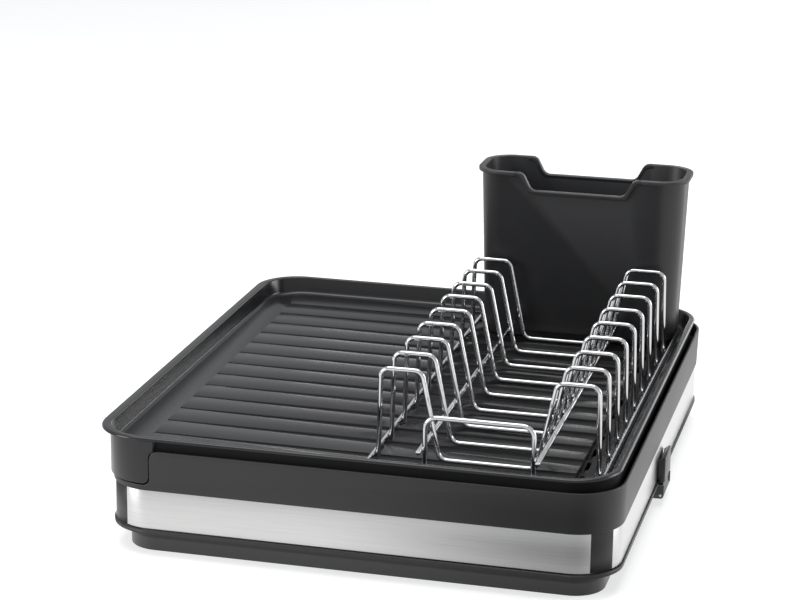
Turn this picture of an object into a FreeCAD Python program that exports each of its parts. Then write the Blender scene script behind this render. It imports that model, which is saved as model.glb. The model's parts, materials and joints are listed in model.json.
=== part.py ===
"""Expandable dish rack: a base tub with a steel band, a tray that slides out to the left,
a wire plate rack, a cutlery caddy and a fold-down drain spout.

Millimetres, +Z up. Every sub-part is drawn around the middle of the base; its Placement then moves it so
that the origin lies under the middle of the whole rack, on the surface it stands on.
+X points to the drain spout, -X is the way the tray slides out, -Y is the front.
"""
import FreeCAD, Part
import math
import os
import Sketcher

Vector = FreeCAD.Vector

os.makedirs("parts", exist_ok=True)
doc = FreeCAD.newDocument("dish_rack")

# Driving dimensions
SIZES = {
    # shared fits
    "wall": 2.4,
    "snug": 0.2,
    "run_gap": 0.3,
    "seat_gap": 0.05,
    # steel band
    "band_half_x": 177.0,
    "band_half_y": 207.7,
    "band_corner": 32.6,
    "band_thick": 0.8,
    "band_low": 20.6,
    "band_high": 47.8,
    # base tub
    "pad_proud": 0.8,
    "foot_inset": 11.4,
    "flange_reach": 1.1,
    "flange_thick": 4.2,
    "tub_floor_top": 13.4,
    "wall_over_band": 18.2,
    "left_wall_over": 2.2,
    "ridge_half_wide": 3.0,
    "ridge_end_round": 2.5,
    "ridge_high": 1.2,
    "ridge_pitch": 26.0,
    "ridge_count": 13,
    "ridge_end_room": 23.6,
    # collar above the band
    "collar_reach": 1.0,
    "rim_gap": 5.6,
    "collar_flare": 1.6,
    "cutout_in": 34.6,
    "cutout_over": 3.8,
    "cutout_bend": 5.0,
    "shoulder_bend": 7.0,
    # rubber foot pads
    "pad_radius": 7.0,
    "pad_tall": 2.8,
    "pad_inset": 20.0,
    "boss_radius": 9.5,
    # slide rails on the base and runners under the tray
    "rail_behind": 4.4,
    "rail_end_room": 36.0,
    "rail_half_tall": 4.0,
    "rail_below": 1.5,
    "rail_wide": 9.1,
    "rail_skin": 1.5,
    "stop_long": 4.0,
    "stop_drop": 3.0,
    "travel": 150.0,
    "runner_past": 12.0,
    "runner_short": 3.0,
    "runner_web": 2.5,
    "hook_thick": 3.0,
    "hook_wide": 9.0,
    "screw_radius": 1.4,
    "screw_head": 2.2,
    "screw_head_tall": 1.6,
    "screw_long": 3.6,
    "screw_skin": 0.4,
    "screw_from_end": 28.0,
    # sliding tray
    "left_wall_in": 6.4,
    "shell_in": 2.5,
    "tray_clear": 2.0,
    "floor_thick": 4.0,
    "rim_over_left": 9.6,
    "rim_short_right": 1.8,
    "rim_over": 0.5,
    "rim_corner_over": 1.8,
    "rim_thick": 3.2,
    "basin_deep": 13.4,
    "rim_wide": 4.4,
    "rim_extra_left": 2.8,
    "rim_round": 1.3,
    "basin_draft": 6.0,
    "cove": 3.0,
    "apron_in": 0.3,
    "apron_corner_in": 1.4,
    "apron_thick": 2.8,
    "seam": 0.7,
    "groove_count": 13,
    "groove_pitch": 27.4,
    "groove_start_in": 30.6,
    "groove_shift": 6.5,
    "cut_over": 1.0,
    "groove_narrow": 1.6,
    "groove_broad": 13.0,
    "groove_shallow": 0.7,
    "groove_deep": 2.2,
    "gutter_in": 33.7,
    "gutter_wide": 11.5,
    "gutter_end_in": 24.2,
    "gutter_corner": 4.0,
    "plank_round": 5.0,
    "slot_wide": 3.0,
    "slot_inset": 5.8,
    "slot_half_long": 8.0,
    # plate rack
    "wire_radius": 1.7,
    "rack_side_in": 17.5,
    "first_wire_in": 44.2,
    "last_wire_gap": 8.2,
    "wire_count": 9,
    "foot_beyond": 0.15,
    "leg_lean": 1.5,
    "arch_tall": 63.5,
    "inner_top": 46.2,
    "inner_foot": 33.2,
    "arch_bend": 6.0,
    "bar_bend": 7.0,
    "inner_rail_up": 17.8,
    "inner_rail_past": 5.0,
    "hoop_in": 16.2,
    "hoop_tall": 41.5,
    "hoop_bend": 8.0,
    "frame_behind": 5.4,
    "frame_bend": 12.0,
    # cutlery caddy
    "caddy_wide": 151.1,
    "dip_off": 1.15,
    "caddy_side_in": 12.3,
    "caddy_deep": 49.1,
    "caddy_back_in": 26.1,
    "caddy_corner": 15.0,
    "caddy_draft": 1.8,
    "caddy_step_in": 4.0,
    "caddy_step_high": 5.4,
    "caddy_tall": 133.6,
    "caddy_wall": 2.2,
    "lip_reach": 6.9,
    "lip_thick": 2.8,
    "notch_drop": 13.5,
    "notch_top_half": 43.0,
    "notch_low_half": 36.0,
    "lip_bend": 1.7,
    "drain_radius": 3.0,
    "drain_pitch": 24.0,
    "drain_row_in": 14.0,
    # drain spout
    "spout_y": -3.0,
    "spout_half": 14.0,
    "axis_out": 2.8,
    "axis_z": 9.0,
    "barrel_radius": 2.4,
    "pin_radius": 1.1,
    "pin_play": 0.1,
    "chute_out": 5.4,
    "chute_skin": 2.0,
    "chute_side": 1.8,
    "chute_short": 10.5,
    "chute_slope": 3.0,
    "face_step": 0.8,
    "face_rise": 9.5,
    "ear_thick": 2.5,
    "nose_half": 10.0,
    "nose_under": 0.4,
    "outlet_half": 8.0,
    "nose_roof": 1.8,
    "seal_thick": 1.1,
}

# Sizes that follow from others
TIED = {
    "tub_wall_high": "band_high + wall_over_band",
    "left_wall_high": "band_high + left_wall_over",
    "tray_under": "tub_wall_high + tray_clear",
    "floor_top": "tray_under + floor_thick",
    "rim_top": "floor_top + basin_deep",
    "rim_under": "rim_top - rim_thick",
    "collar_high": "rim_under - rim_gap",
    "cutout_low": "band_high + cutout_over",
    "apron_low": "cutout_low + seam",
    "rim_half_y": "band_half_y + rim_over",
    "rim_left": "band_half_x + rim_over_left",
    "rim_right": "band_half_x - rim_short_right",
    "rim_corner": "band_corner + rim_corner_over",
    "tray_left": "rim_left - left_wall_in",
    "tray_right": "rim_right - shell_in",
    "tray_half_y": "rim_half_y - shell_in",
    "tray_corner": "rim_corner - shell_in",
    "apron_half_y": "rim_half_y - apron_in",
    "apron_corner": "rim_corner - apron_corner_in",
    "cutout_x": "band_half_x - cutout_in",
    "rail_left": "cutout_x - rail_behind",
    "rail_right": "band_half_x - rail_end_room",
    "rail_high": "tub_wall_high - rail_below",
    "rail_low": "rail_high - rail_half_tall * 2",
    "runner_left": "rail_left + runner_past",
    "runner_right": "rail_right - runner_short",
    "screw_pitch": "rail_left - screw_from_end",
    "ridge_half_long": "band_half_x - foot_inset - ridge_end_room",
    "groove_left": "rim_left - groove_start_in",
    "first_groove": "groove_pitch * (groove_count - 1) / 2",
    "gutter_left": "rim_right - gutter_in",
    "gutter_right": "gutter_left + gutter_wide",
    "gutter_half_y": "rim_half_y - gutter_end_in",
    "outer_foot": "caddy_wide / 2 + foot_beyond",
    "outer_top": "outer_foot - leg_lean",
    "rack_in": "outer_foot + rack_side_in",
    "rack_x": "rim_right - rack_in",
    "first_wire_y": "rim_half_y - first_wire_in",
    "hoop_y": "rim_half_y - hoop_in",
    "frame_back_in": "caddy_back_in - frame_behind",
    "frame_back": "rim_half_y - frame_back_in",
    "arch_high": "floor_top + arch_tall",
    "inner_rail_high": "floor_top + inner_rail_up",
    "hoop_high": "floor_top + hoop_tall",
    "caddy_right": "rim_right - caddy_side_in",
    "caddy_left": "caddy_right - caddy_wide",
    "dip_in": "caddy_wide / 2 + dip_off",
    "dip_middle": "caddy_right - dip_in",
    "caddy_back": "rim_half_y - caddy_back_in",
    "caddy_front": "caddy_back - caddy_deep",
    "caddy_high": "floor_top + caddy_tall",
    "wire_pitch": "(caddy_front - last_wire_gap + first_wire_y) / (wire_count - 1)",
    "axis_x": "band_half_x + axis_out",
    "chute_face": "band_half_x + chute_out",
    "chute_top": "band_high - chute_short",
    "nose_tip": "chute_face - chute_skin - run_gap - seal_thick",
    "nose_low": "axis_z + barrel_radius + run_gap",
    "nose_high": "band_low - nose_under",
    "outlet_top": "nose_high - nose_roof",
}

sheet = doc.addObject("Spreadsheet::Sheet", "sizes")
for row, (name, value) in enumerate(list(SIZES.items()) + list(TIED.items()), start=1):
    sheet.set(f"A{row}", name)
    sheet.set(f"B{row}", str(value) if name in SIZES else f"={value}")
    sheet.setAlias(f"B{row}", name)
doc.recompute()


def size(name):
    """The number that the sheet holds under this alias."""
    return float(sheet.get(name))


def is_number(word):
    """Whether a word of a sum is a plain number."""
    return word[0].isdigit()


def split_terms(text):
    """A sum such as 'band_half_x - wall' as (sign, word) pairs."""
    pairs = []
    sign = 1
    for word in text.split():
        if word == "-":
            sign = -1
        elif word == "+":
            sign = 1
        else:
            pairs.append((sign, word))
            sign = 1
    return pairs


def total(text):
    """The value of a sum of aliases and plain numbers."""
    answer = 0.0
    for sign, word in split_terms(text):
        answer += sign * (float(word) if is_number(word) else size(word))
    return answer


def formula(text):
    """The same sum as an expression on the sheet."""
    words = []
    for sign, word in split_terms(text):
        words.append("-" if sign < 0 else "+")
        words.append(word if is_number(word) else f"sizes.{word}")
    return " ".join(words)


# Sketches and features
def new_body(label):
    """An empty sub-part."""
    body = doc.addObject("PartDesign::Body", label)
    body.Label = label
    return body


def new_sketch(body, name, plane, level):
    """A sketch parallel to one of the body's own origin planes, at a level along its normal."""
    sketch = body.newObject("Sketcher::SketchObject", name)
    for feature in body.Origin.OriginFeatures:
        if getattr(feature, "Role", "") == plane:
            sketch.AttachmentSupport = [(feature, "")]
    sketch.MapMode = "FlatFace"
    sketch.setExpression("AttachmentOffset.Base.z", formula(level))
    return sketch


def hold(sketch, constraint, text):
    """Add a constraint and bind its value to the sheet."""
    index = sketch.addConstraint(constraint)
    sketch.setExpression(f"Constraints[{index}]", formula(text))
    return index


def hold_x(sketch, line, point, text):
    """Hold a point this far to the right of the origin, or to the left of it where the sum is negative."""
    value = total(text)
    if value >= 0:
        hold(sketch, Sketcher.Constraint("DistanceX", -1, 1, line, point, value), text)
    else:
        flipped = negate(text)
        hold(sketch, Sketcher.Constraint("DistanceX", line, point, -1, 1, -value), flipped)


def hold_y(sketch, line, point, text):
    """Hold a point this far above the origin, or below it where the sum is negative."""
    value = total(text)
    if value >= 0:
        hold(sketch, Sketcher.Constraint("DistanceY", -1, 1, line, point, value), text)
    else:
        flipped = negate(text)
        hold(sketch, Sketcher.Constraint("DistanceY", line, point, -1, 1, -value), flipped)


def negate(text):
    """The same sum with every sign turned."""
    words = []
    for sign, word in split_terms(text):
        words.append("+" if sign < 0 else "-")
        words.append(word)
    return " ".join(words)


def rounded_outline(sketch, left, right, front, back, corner):
    """A closed rounded rectangle whose sides and corner radius follow the sheet."""
    x0, x1, y0, y1 = total(left), total(right), total(front), total(back)
    r = total(corner)
    lines = []
    for start, end in (((x0 + r, y0), (x1 - r, y0)), ((x1, y0 + r), (x1, y1 - r)),
                       ((x1 - r, y1), (x0 + r, y1)), ((x0, y1 - r), (x0, y0 + r))):
        segment = Part.LineSegment(Vector(*start, 0), Vector(*end, 0))
        lines.append(sketch.addGeometry(segment, False))
    arcs = []
    for cx, cy, quarter in ((x1 - r, y0 + r, 3), (x1 - r, y1 - r, 0), (x0 + r, y1 - r, 1), (x0 + r, y0 + r, 2)):
        circle = Part.Circle(Vector(cx, cy, 0), Vector(0, 0, 1), r)
        turn = quarter * math.pi / 2
        arcs.append(sketch.addGeometry(Part.ArcOfCircle(circle, turn, turn + math.pi / 2), False))
    for k in range(4):
        sketch.addConstraint(Sketcher.Constraint("Tangent", lines[k], 2, arcs[k], 1))
        sketch.addConstraint(Sketcher.Constraint("Tangent", arcs[k], 2, lines[(k + 1) % 4], 1))
        sketch.addConstraint(Sketcher.Constraint("Horizontal" if k % 2 == 0 else "Vertical", lines[k]))
        if k:
            sketch.addConstraint(Sketcher.Constraint("Equal", arcs[0], arcs[k]))
    hold(sketch, Sketcher.Constraint("Radius", arcs[0], r), corner)
    hold_x(sketch, lines[1], 1, right)
    hold_x(sketch, lines[3], 1, left)
    hold_y(sketch, lines[0], 1, front)
    hold_y(sketch, lines[2], 1, back)


def polygon(sketch, corners):
    """A closed outline through corners, each an (x, y) pair of sums."""
    values = [(total(x), total(y)) for x, y in corners]
    lines = []
    for k, start in enumerate(values):
        end = values[(k + 1) % len(values)]
        segment = Part.LineSegment(Vector(*start, 0), Vector(*end, 0))
        lines.append(sketch.addGeometry(segment, False))
    for k, (x, y) in enumerate(corners):
        sketch.addConstraint(Sketcher.Constraint("Coincident", lines[k - 1], 2, lines[k], 1))
        hold_x(sketch, lines[k], 1, x)
        hold_y(sketch, lines[k], 1, y)


def circle_at(sketch, x, y, radius):
    """A circle whose centre and radius follow the sheet."""
    centre = Vector(total(x), total(y), 0)
    index = sketch.addGeometry(Part.Circle(centre, Vector(0, 0, 1), total(radius)), False)
    hold(sketch, Sketcher.Constraint("Radius", index, total(radius)), radius)
    hold_x(sketch, index, 3, x)
    hold_y(sketch, index, 3, y)


def pad(body, sketch, length, flare=None, both_ways=False):
    """Grow the body from a sketch, along the sketch's normal."""
    feature = body.newObject("PartDesign::Pad", f"{sketch.Name}_pad")
    feature.Profile = sketch
    feature.setExpression("Length", formula(length))
    if flare:
        feature.setExpression("TaperAngle", formula(flare))
    feature.Midplane = both_ways
    doc.recompute()
    return feature


def pocket(body, sketch, length=None, flare=None, upward=False, both_ways=False):
    """Cut the body from a sketch; the cut must take something away."""
    before = body.Shape.Volume
    feature = body.newObject("PartDesign::Pocket", f"{sketch.Name}_cut")
    feature.Profile = sketch
    if length:
        feature.setExpression("Length", formula(length))
    else:
        feature.Type = "ThroughAll"
    if flare:
        feature.setExpression("TaperAngle", formula(flare))
    feature.Reversed = upward
    feature.Midplane = both_ways
    doc.recompute()
    if body.Shape.Volume > before - 1e-6:
        raise RuntimeError(f"{feature.Name} cut nothing")
    return feature


def edge_names(feature, wanted):
    """Names of the feature's edges that pass a test."""
    return [f"Edge{n}" for n, edge in enumerate(feature.Shape.Edges, start=1) if wanted(edge)]


def at_level(edge, z):
    """Whether an edge lies flat at height z."""
    box = edge.BoundBox
    return abs(box.ZMin - z) < 0.01 and abs(box.ZMax - z) < 0.01


def round_edges(body, base, names, radius):
    """Fillet the named edges."""
    feature = body.newObject("PartDesign::Fillet", f"{body.Name}_round")
    feature.Base = (base, names)
    feature.setExpression("Radius", formula(radius))
    doc.recompute()
    return feature


def row_along_y(body, features, count, pitch):
    """Repeat features along Y, one pitch apart."""
    pattern = body.newObject("PartDesign::LinearPattern", f"{features[0].Name}_row")
    pattern.Originals = features
    for feature in body.Origin.OriginFeatures:
        if getattr(feature, "Role", "") == "Y_Axis":
            pattern.Direction = (feature, [""])
    pattern.setExpression("Length", f"({formula(count)} - 1) * {formula(pitch)[2:]}")
    pattern.setExpression("Occurrences", formula(count))
    body.Tip = pattern
    doc.recompute()
    return pattern


# Base tub: plinth foot, flange, wall behind the band, floor and outlet
FOOT_X = "band_half_x - foot_inset"
FOOT_Y = "band_half_y - foot_inset"
FOOT_CORNER = "band_corner - foot_inset"
LINING_X = "band_half_x - band_thick - snug"
LINING_Y = "band_half_y - band_thick - snug"
LINING_CORNER = "band_corner - band_thick - snug"


def ring_outline(body, name, half_x, half_y, corner, level):
    """A rounded rectangle centred on the origin."""
    sketch = new_sketch(body, name, "XY_Plane", level)
    rounded_outline(sketch, negate(half_x), half_x, negate(half_y), half_y, corner)
    return sketch


def make_base_tub():
    body = new_body("base_tub")
    pad(body, ring_outline(body, "foot_outline", FOOT_X, FOOT_Y, FOOT_CORNER, "pad_proud"),
        "band_low - pad_proud")
    pad(body, ring_outline(body, "flange_outline", "band_half_x + flange_reach", "band_half_y + flange_reach",
                           "band_corner + flange_reach", "band_low - flange_thick"), "flange_thick")
    pad(body, ring_outline(body, "lining_outline", LINING_X, LINING_Y, LINING_CORNER, "band_low"),
        "tub_wall_high - band_low")
    pocket(body, ring_outline(body, "basin_outline", f"{LINING_X} - wall", f"{LINING_Y} - wall",
                              f"{LINING_CORNER} - wall", "tub_wall_high"), "tub_wall_high - band_low")
    pocket(body, ring_outline(body, "sump_outline", f"{FOOT_X} - wall", f"{FOOT_Y} - wall",
                              f"{FOOT_CORNER} - wall", "band_low"), "band_low - tub_floor_top")
    pocket(body, ring_outline(body, "plinth_hollow", f"{FOOT_X} - wall", f"{FOOT_Y} - wall",
                              f"{FOOT_CORNER} - wall", "pad_proud"), "tub_floor_top - wall - pad_proud",
           upward=True)

    low_side = new_sketch(body, "low_left_wall", "XZ_Plane", "0")
    polygon(low_side, [("- band_half_x - wall", "left_wall_high"), ("- rail_left - run_gap", "left_wall_high"),
                       ("- rail_left - run_gap", "tub_wall_high + wall"),
                       ("- band_half_x - wall", "tub_wall_high + wall")])
    pocket(body, low_side, "band_half_y + band_half_y", both_ways=True)

    bosses = new_sketch(body, "pad_bosses", "XY_Plane", "pad_proud")
    recesses = new_sketch(body, "pad_recesses", "XY_Plane", "pad_proud")
    for x, y in pad_centres():
        circle_at(bosses, x, y, "boss_radius")
        circle_at(recesses, x, y, "pad_radius + snug")
    pad(body, bosses, "tub_floor_top - wall - pad_proud")
    pocket(body, recesses, "pad_tall + seat_gap - pad_proud", upward=True)

    ridge = new_sketch(body, "floor_ridge", "XY_Plane", "tub_floor_top")
    first = " ".join(["- ridge_pitch"] * 6)
    rounded_outline(ridge, "- ridge_half_long", "ridge_half_long", f"{first} - ridge_half_wide",
                    f"{first} + ridge_half_wide", "ridge_end_round")
    row_along_y(body, [pad(body, ridge, "ridge_high")], "ridge_count", "ridge_pitch")

    bay = new_sketch(body, "spout_bay", "XY_Plane", "band_low")
    block(bay, f"{LINING_X} + snug", "band_half_x + flange_reach + wall", "spout_y - spout_half - run_gap",
          "spout_y + spout_half + run_gap")
    pocket(body, bay, "flange_thick")
    nose = new_sketch(body, "outlet_nose", "XY_Plane", "nose_low")
    block(nose, f"{FOOT_X} - wall", "nose_tip", "spout_y - nose_half", "spout_y + nose_half")
    pad(body, nose, "nose_high - nose_low")
    for side, y in (("front", "spout_y - spout_half - run_gap - ear_thick"),
                    ("back", "spout_y + spout_half + run_gap")):
        arm = new_sketch(body, f"ear_arm_{side}", "XZ_Plane", negate(y))
        block(arm, f"{FOOT_X} - wall", "axis_x", "axis_z - barrel_radius", "band_low - flange_thick")
        pad(body, arm, "ear_thick").Reversed = True
        knuckle = new_sketch(body, f"ear_knuckle_{side}", "XZ_Plane", negate(y))
        circle_at(knuckle, "axis_x", "axis_z", "barrel_radius")
        pad(body, knuckle, "ear_thick").Reversed = True
        doc.recompute()
    bore = new_sketch(body, "pin_bore", "XZ_Plane", "- spout_y")
    circle_at(bore, "axis_x", "axis_z", "pin_radius + seat_gap")
    pocket(body, bore, "spout_half + spout_half + spout_half", both_ways=True)
    outlet = new_sketch(body, "outlet", "YZ_Plane", "nose_tip")
    block(outlet, "spout_y - outlet_half", "spout_y + outlet_half", "tub_floor_top", "outlet_top")
    pocket(body, outlet, "nose_tip - band_half_x + foot_inset + wall + wall")

    holes = new_sketch(body, "rail_screw_holes", "XZ_Plane", "0")
    for x in screw_places():
        circle_at(holes, x, "rail_low + rail_half_tall", "screw_radius + seat_gap")
    pocket(body, holes, f"{LINING_Y} + {LINING_Y} - screw_skin - screw_skin", both_ways=True)
    return body


def block(sketch, left, right, low, high):
    """A plain rectangle between sums."""
    polygon(sketch, [(left, low), (right, low), (right, high), (left, high)])


def pad_centres():
    """Centres of the four rubber pads, as pairs of sums."""
    x = f"{FOOT_X} - pad_inset"
    y = f"{FOOT_Y} - pad_inset"
    return [(negate(x), negate(y)), (x, negate(y)), (x, y), (negate(x), y)]


def screw_places():
    """The x of the three screws along a rail."""
    return ["- screw_pitch", "0", "screw_pitch"]


# Steel band
def make_steel_band():
    body = new_body("steel_band")
    pad(body, ring_outline(body, "band_outline", "band_half_x", "band_half_y", "band_corner", "band_low + seat_gap"),
        "band_high - band_low - seat_gap - seat_gap")
    pocket(body, ring_outline(body, "band_inside", "band_half_x - band_thick", "band_half_y - band_thick",
                              "band_corner - band_thick", "band_high"))
    return body


# Collar, cut open on the left with a rounded shoulder at the top and a rounded corner at the bottom
def make_base_collar():
    body = new_body("base_collar")
    pad(body, ring_outline(body, "collar_outline", "band_half_x + collar_reach", "band_half_y + collar_reach",
                           "band_corner + collar_reach", "band_high + seat_gap"),
        "collar_high - band_high - seat_gap", flare="collar_flare")
    pocket(body, ring_outline(body, "collar_inside", "band_half_x - band_thick", "band_half_y - band_thick",
                              "band_corner - band_thick", "collar_high"))
    opening = new_sketch(body, "tray_opening", "XZ_Plane", "0")
    block(opening, "- band_half_x - foot_inset", "- cutout_x", "cutout_low", "collar_high + wall")
    cut = pocket(body, opening, "band_half_y + band_half_y + foot_inset + foot_inset", both_ways=True)
    seam_x = -size("cutout_x")
    tops = edge_names(cut, lambda e: across_wall(e, seam_x, size("collar_high")))
    shoulder = round_edges(body, cut, tops, "shoulder_bend")
    lows = edge_names(shoulder, lambda e: across_wall(e, seam_x, size("cutout_low")))
    round_edges(body, shoulder, lows, "cutout_bend")
    return body


def across_wall(edge, x, z):
    """Whether an edge runs straight along Y at this x and z."""
    box = edge.BoundBox
    return abs(box.XMin - x) < 0.01 and abs(box.XMax - x) < 0.01 and at_level(edge, z) and box.YLength > 0.3


# Rubber foot pads
def make_foot_pad(number, centre):
    body = new_body(f"foot_pad_{number}")
    disc = new_sketch(body, f"pad_disc_{number}", "XY_Plane", "0")
    circle_at(disc, centre[0], centre[1], "pad_radius")
    pad(body, disc, "pad_tall")
    return body


# Slide rails, screwed to the inside of the tub, with a stop at their left ends
def make_slide_rail(side, sign):
    """A C-shaped rail whose open side faces the middle of the tub; sign is -1 in front, +1 at the back."""
    body = new_body(f"slide_rail_{side}")
    web = f"{LINING_Y} - wall - seat_gap"
    section = new_sketch(body, f"rail_section_{side}", "YZ_Plane", "- rail_left")
    outer, inner = web, f"{web} - rail_wide"
    skin = "rail_skin"
    corners = [(outer, "rail_low"), (outer, "rail_high"), (inner, "rail_high"), (inner, f"rail_high - {skin}"),
               (f"{outer} - {skin}", f"rail_high - {skin}"), (f"{outer} - {skin}", f"rail_low + {skin}"),
               (inner, f"rail_low + {skin}"), (inner, "rail_low")]
    polygon(section, mirrored(corners, sign))
    pad(body, section, "rail_left + rail_right")
    stop = new_sketch(body, f"rail_stop_{side}", "YZ_Plane", "- rail_left")
    corners = [(outer, "rail_low - stop_drop"), (outer, "rail_low + rail_skin"),
               (inner, "rail_low + rail_skin"), (inner, "rail_low - stop_drop")]
    polygon(stop, mirrored(corners, sign))
    pad(body, stop, "stop_long")
    holes = new_sketch(body, f"rail_holes_{side}", "XZ_Plane", "0")
    for x in screw_places():
        circle_at(holes, x, "rail_low + rail_half_tall", "screw_radius + seat_gap")
    pocket(body, holes, "band_half_y + band_half_y", both_ways=True)
    return body


def mirrored(corners, sign):
    """The same corners with their first sum turned where the sign is negative."""
    if sign > 0:
        return corners
    return [(negate(first), second) for first, second in corners]


def make_rail_screws(side, sign):
    """Three pan-head screws that hold a rail to the tub."""
    body = new_body(f"rail_screws_{side}")
    web = f"{LINING_Y} - wall - rail_skin - seat_gap - seat_gap"
    level = web if sign < 0 else negate(web)
    shanks = new_sketch(body, f"screw_shanks_{side}", "XZ_Plane", level)
    heads = new_sketch(body, f"screw_heads_{side}", "XZ_Plane", level)
    for x in screw_places():
        circle_at(shanks, x, "rail_low + rail_half_tall", "screw_radius")
        circle_at(heads, x, "rail_low + rail_half_tall", "screw_head")
    first = pad(body, heads, "screw_head_tall")
    first.Reversed = sign < 0
    doc.recompute()
    second = pad(body, shanks, "screw_long")
    second.Reversed = sign > 0
    doc.recompute()
    return body


# Sliding tray: apron at the left end, shell, rim, basin, grooves and gutter
def make_sliding_tray():
    body = new_body("sliding_tray")
    apron = new_sketch(body, "apron_outline", "XY_Plane", "apron_low")
    rounded_outline(apron, "- tray_left", "tray_right", "- apron_half_y", "apron_half_y", "apron_corner")
    pad(body, apron, "rim_under - apron_low")
    side = new_sketch(body, "apron_side", "XZ_Plane", "0")
    block(side, "- cutout_x - seam", "rim_right + foot_inset", "apron_low - wall", "collar_high + seam")
    cut = pocket(body, side, "rim_half_y + rim_half_y", both_ways=True)
    lower = edge_names(cut, lambda e: across_wall(e, -total("cutout_x + seam"), size("apron_low")))
    cut = round_edges(body, cut, lower, "cutout_bend")
    upper = edge_names(cut, lambda e: across_wall(e, -total("cutout_x + seam"), total("collar_high + seam")))
    round_edges(body, cut, upper, "shoulder_bend")
    end = new_sketch(body, "apron_end", "XZ_Plane", "0")
    block(end, "- cutout_x - seam + shoulder_bend", "rim_right + foot_inset", "collar_high - wall", "rim_under + wall")
    pocket(body, end, "rim_half_y + rim_half_y", both_ways=True)
    inside = new_sketch(body, "apron_inside", "XY_Plane", "apron_low")
    rounded_outline(inside, "- tray_left + apron_thick", "tray_right", "- apron_half_y + apron_thick",
                    "apron_half_y - apron_thick", "apron_corner - apron_thick")
    pocket(body, inside, "rim_under - apron_low", upward=True)

    shell = new_sketch(body, "shell_outline", "XY_Plane", "tray_under")
    rounded_outline(shell, "- tray_left", "tray_right", "- tray_half_y", "tray_half_y", "tray_corner")
    pad(body, shell, "rim_top - tray_under")
    rim = new_sketch(body, "rim_outline", "XY_Plane", "rim_under")
    rounded_outline(rim, "- rim_left", "rim_right", "- rim_half_y", "rim_half_y", "rim_corner")
    rim_pad = pad(body, rim, "rim_top - rim_under")
    top_outer = edge_names(rim_pad, lambda e: at_level(e, size("rim_top")))
    round_edges(body, rim_pad, top_outer, "rim_round")
    basin = new_sketch(body, "basin_top", "XY_Plane", "rim_top")
    rounded_outline(basin, "- rim_left + rim_wide + rim_extra_left", "rim_right - rim_wide", "- rim_half_y + rim_wide",
                    "rim_half_y - rim_wide", "rim_corner - rim_wide")
    well = pocket(body, basin, "rim_top - floor_top", flare="- basin_draft")
    bottom = edge_names(well, lambda e: at_level(e, size("floor_top")))
    round_edges(body, well, bottom, "cove")

    # A groove is a wedge that runs along X, so its own Y axis is turned onto the tray's X axis
    groove = body.newObject("PartDesign::SubtractiveWedge", "groove")
    groove.Placement.Rotation = FreeCAD.Rotation(FreeCAD.Vector(0, 0, 1), -90)
    far_side = "first_groove - groove_shift"
    for setting, value in (("Ymin", "- groove_left"), ("Ymax", "gutter_left + cut_over"),
                           ("Xmin", far_side), ("Xmax", f"{far_side} + groove_narrow"),
                           ("X2min", far_side), ("X2max", f"{far_side} + groove_broad"),
                           ("Zmin", "floor_top - groove_shallow"), ("Zmax", "floor_top + cut_over"),
                           ("Z2min", "floor_top - groove_deep"), ("Z2max", "floor_top + cut_over")):
        groove.setExpression(setting, formula(value))
    doc.recompute()
    row_along_y(body, [groove], "groove_count", "groove_pitch")
    gutter = new_sketch(body, "gutter", "XY_Plane", "floor_top")
    rounded_outline(gutter, "gutter_left", "gutter_right", "- gutter_half_y", "gutter_half_y", "gutter_corner")
    cut = pocket(body, gutter, "groove_deep")
    ends = edge_names(cut, plank_end)
    round_edges(body, cut, ends, "plank_round")
    slot = new_sketch(body, "drain_slot", "XY_Plane", "floor_top")
    block(slot, "gutter_right - slot_inset - slot_wide", "gutter_right - slot_inset",
          "- first_groove - slot_half_long", "- first_groove + slot_half_long")
    row_along_y(body, [pocket(body, slot)], "groove_count", "groove_pitch")
    return body


def plank_end(edge):
    """Whether an edge is an upright corner where a floor plank ends at the gutter."""
    box = edge.BoundBox
    return (abs(box.XMin - size("gutter_left")) < 0.01 and abs(box.XMax - size("gutter_left")) < 0.01
            and box.YLength < 0.01 and box.ZLength > 1 and abs(box.ZMax - size("floor_top")) < 0.01)


# Runners under the tray: a web, a top flange on the rail and a hook below it
def make_tray_runner(side, sign):
    body = new_body(f"tray_runner_{side}")
    web = f"{LINING_Y} - wall - seat_gap - rail_wide - run_gap"
    low = "rail_low - run_gap"
    top = "tray_under - seat_gap"
    long_part = new_sketch(body, f"runner_section_{side}", "YZ_Plane", "- runner_left")
    corners = [(web, f"{low} - hook_thick"), (web, "rail_high + run_gap"), (f"{web} + hook_wide", "rail_high + run_gap"),
               (f"{web} + hook_wide", top), (f"{web} - runner_web", top),
               (f"{web} - runner_web", f"{low} - hook_thick")]
    polygon(long_part, mirrored(corners, sign))
    pad(body, long_part, "runner_left + runner_right")
    hook = new_sketch(body, f"runner_hook_{side}", "YZ_Plane", "- rail_left + stop_long + travel + run_gap")
    corners = [(f"{web} - runner_web", f"{low} - hook_thick"), (f"{web} + hook_wide", f"{low} - hook_thick"),
               (f"{web} + hook_wide", low), (f"{web} - runner_web", low)]
    polygon(hook, mirrored(corners, sign))
    pad(body, hook, "runner_right + rail_left - stop_long - travel - run_gap")
    return body


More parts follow.
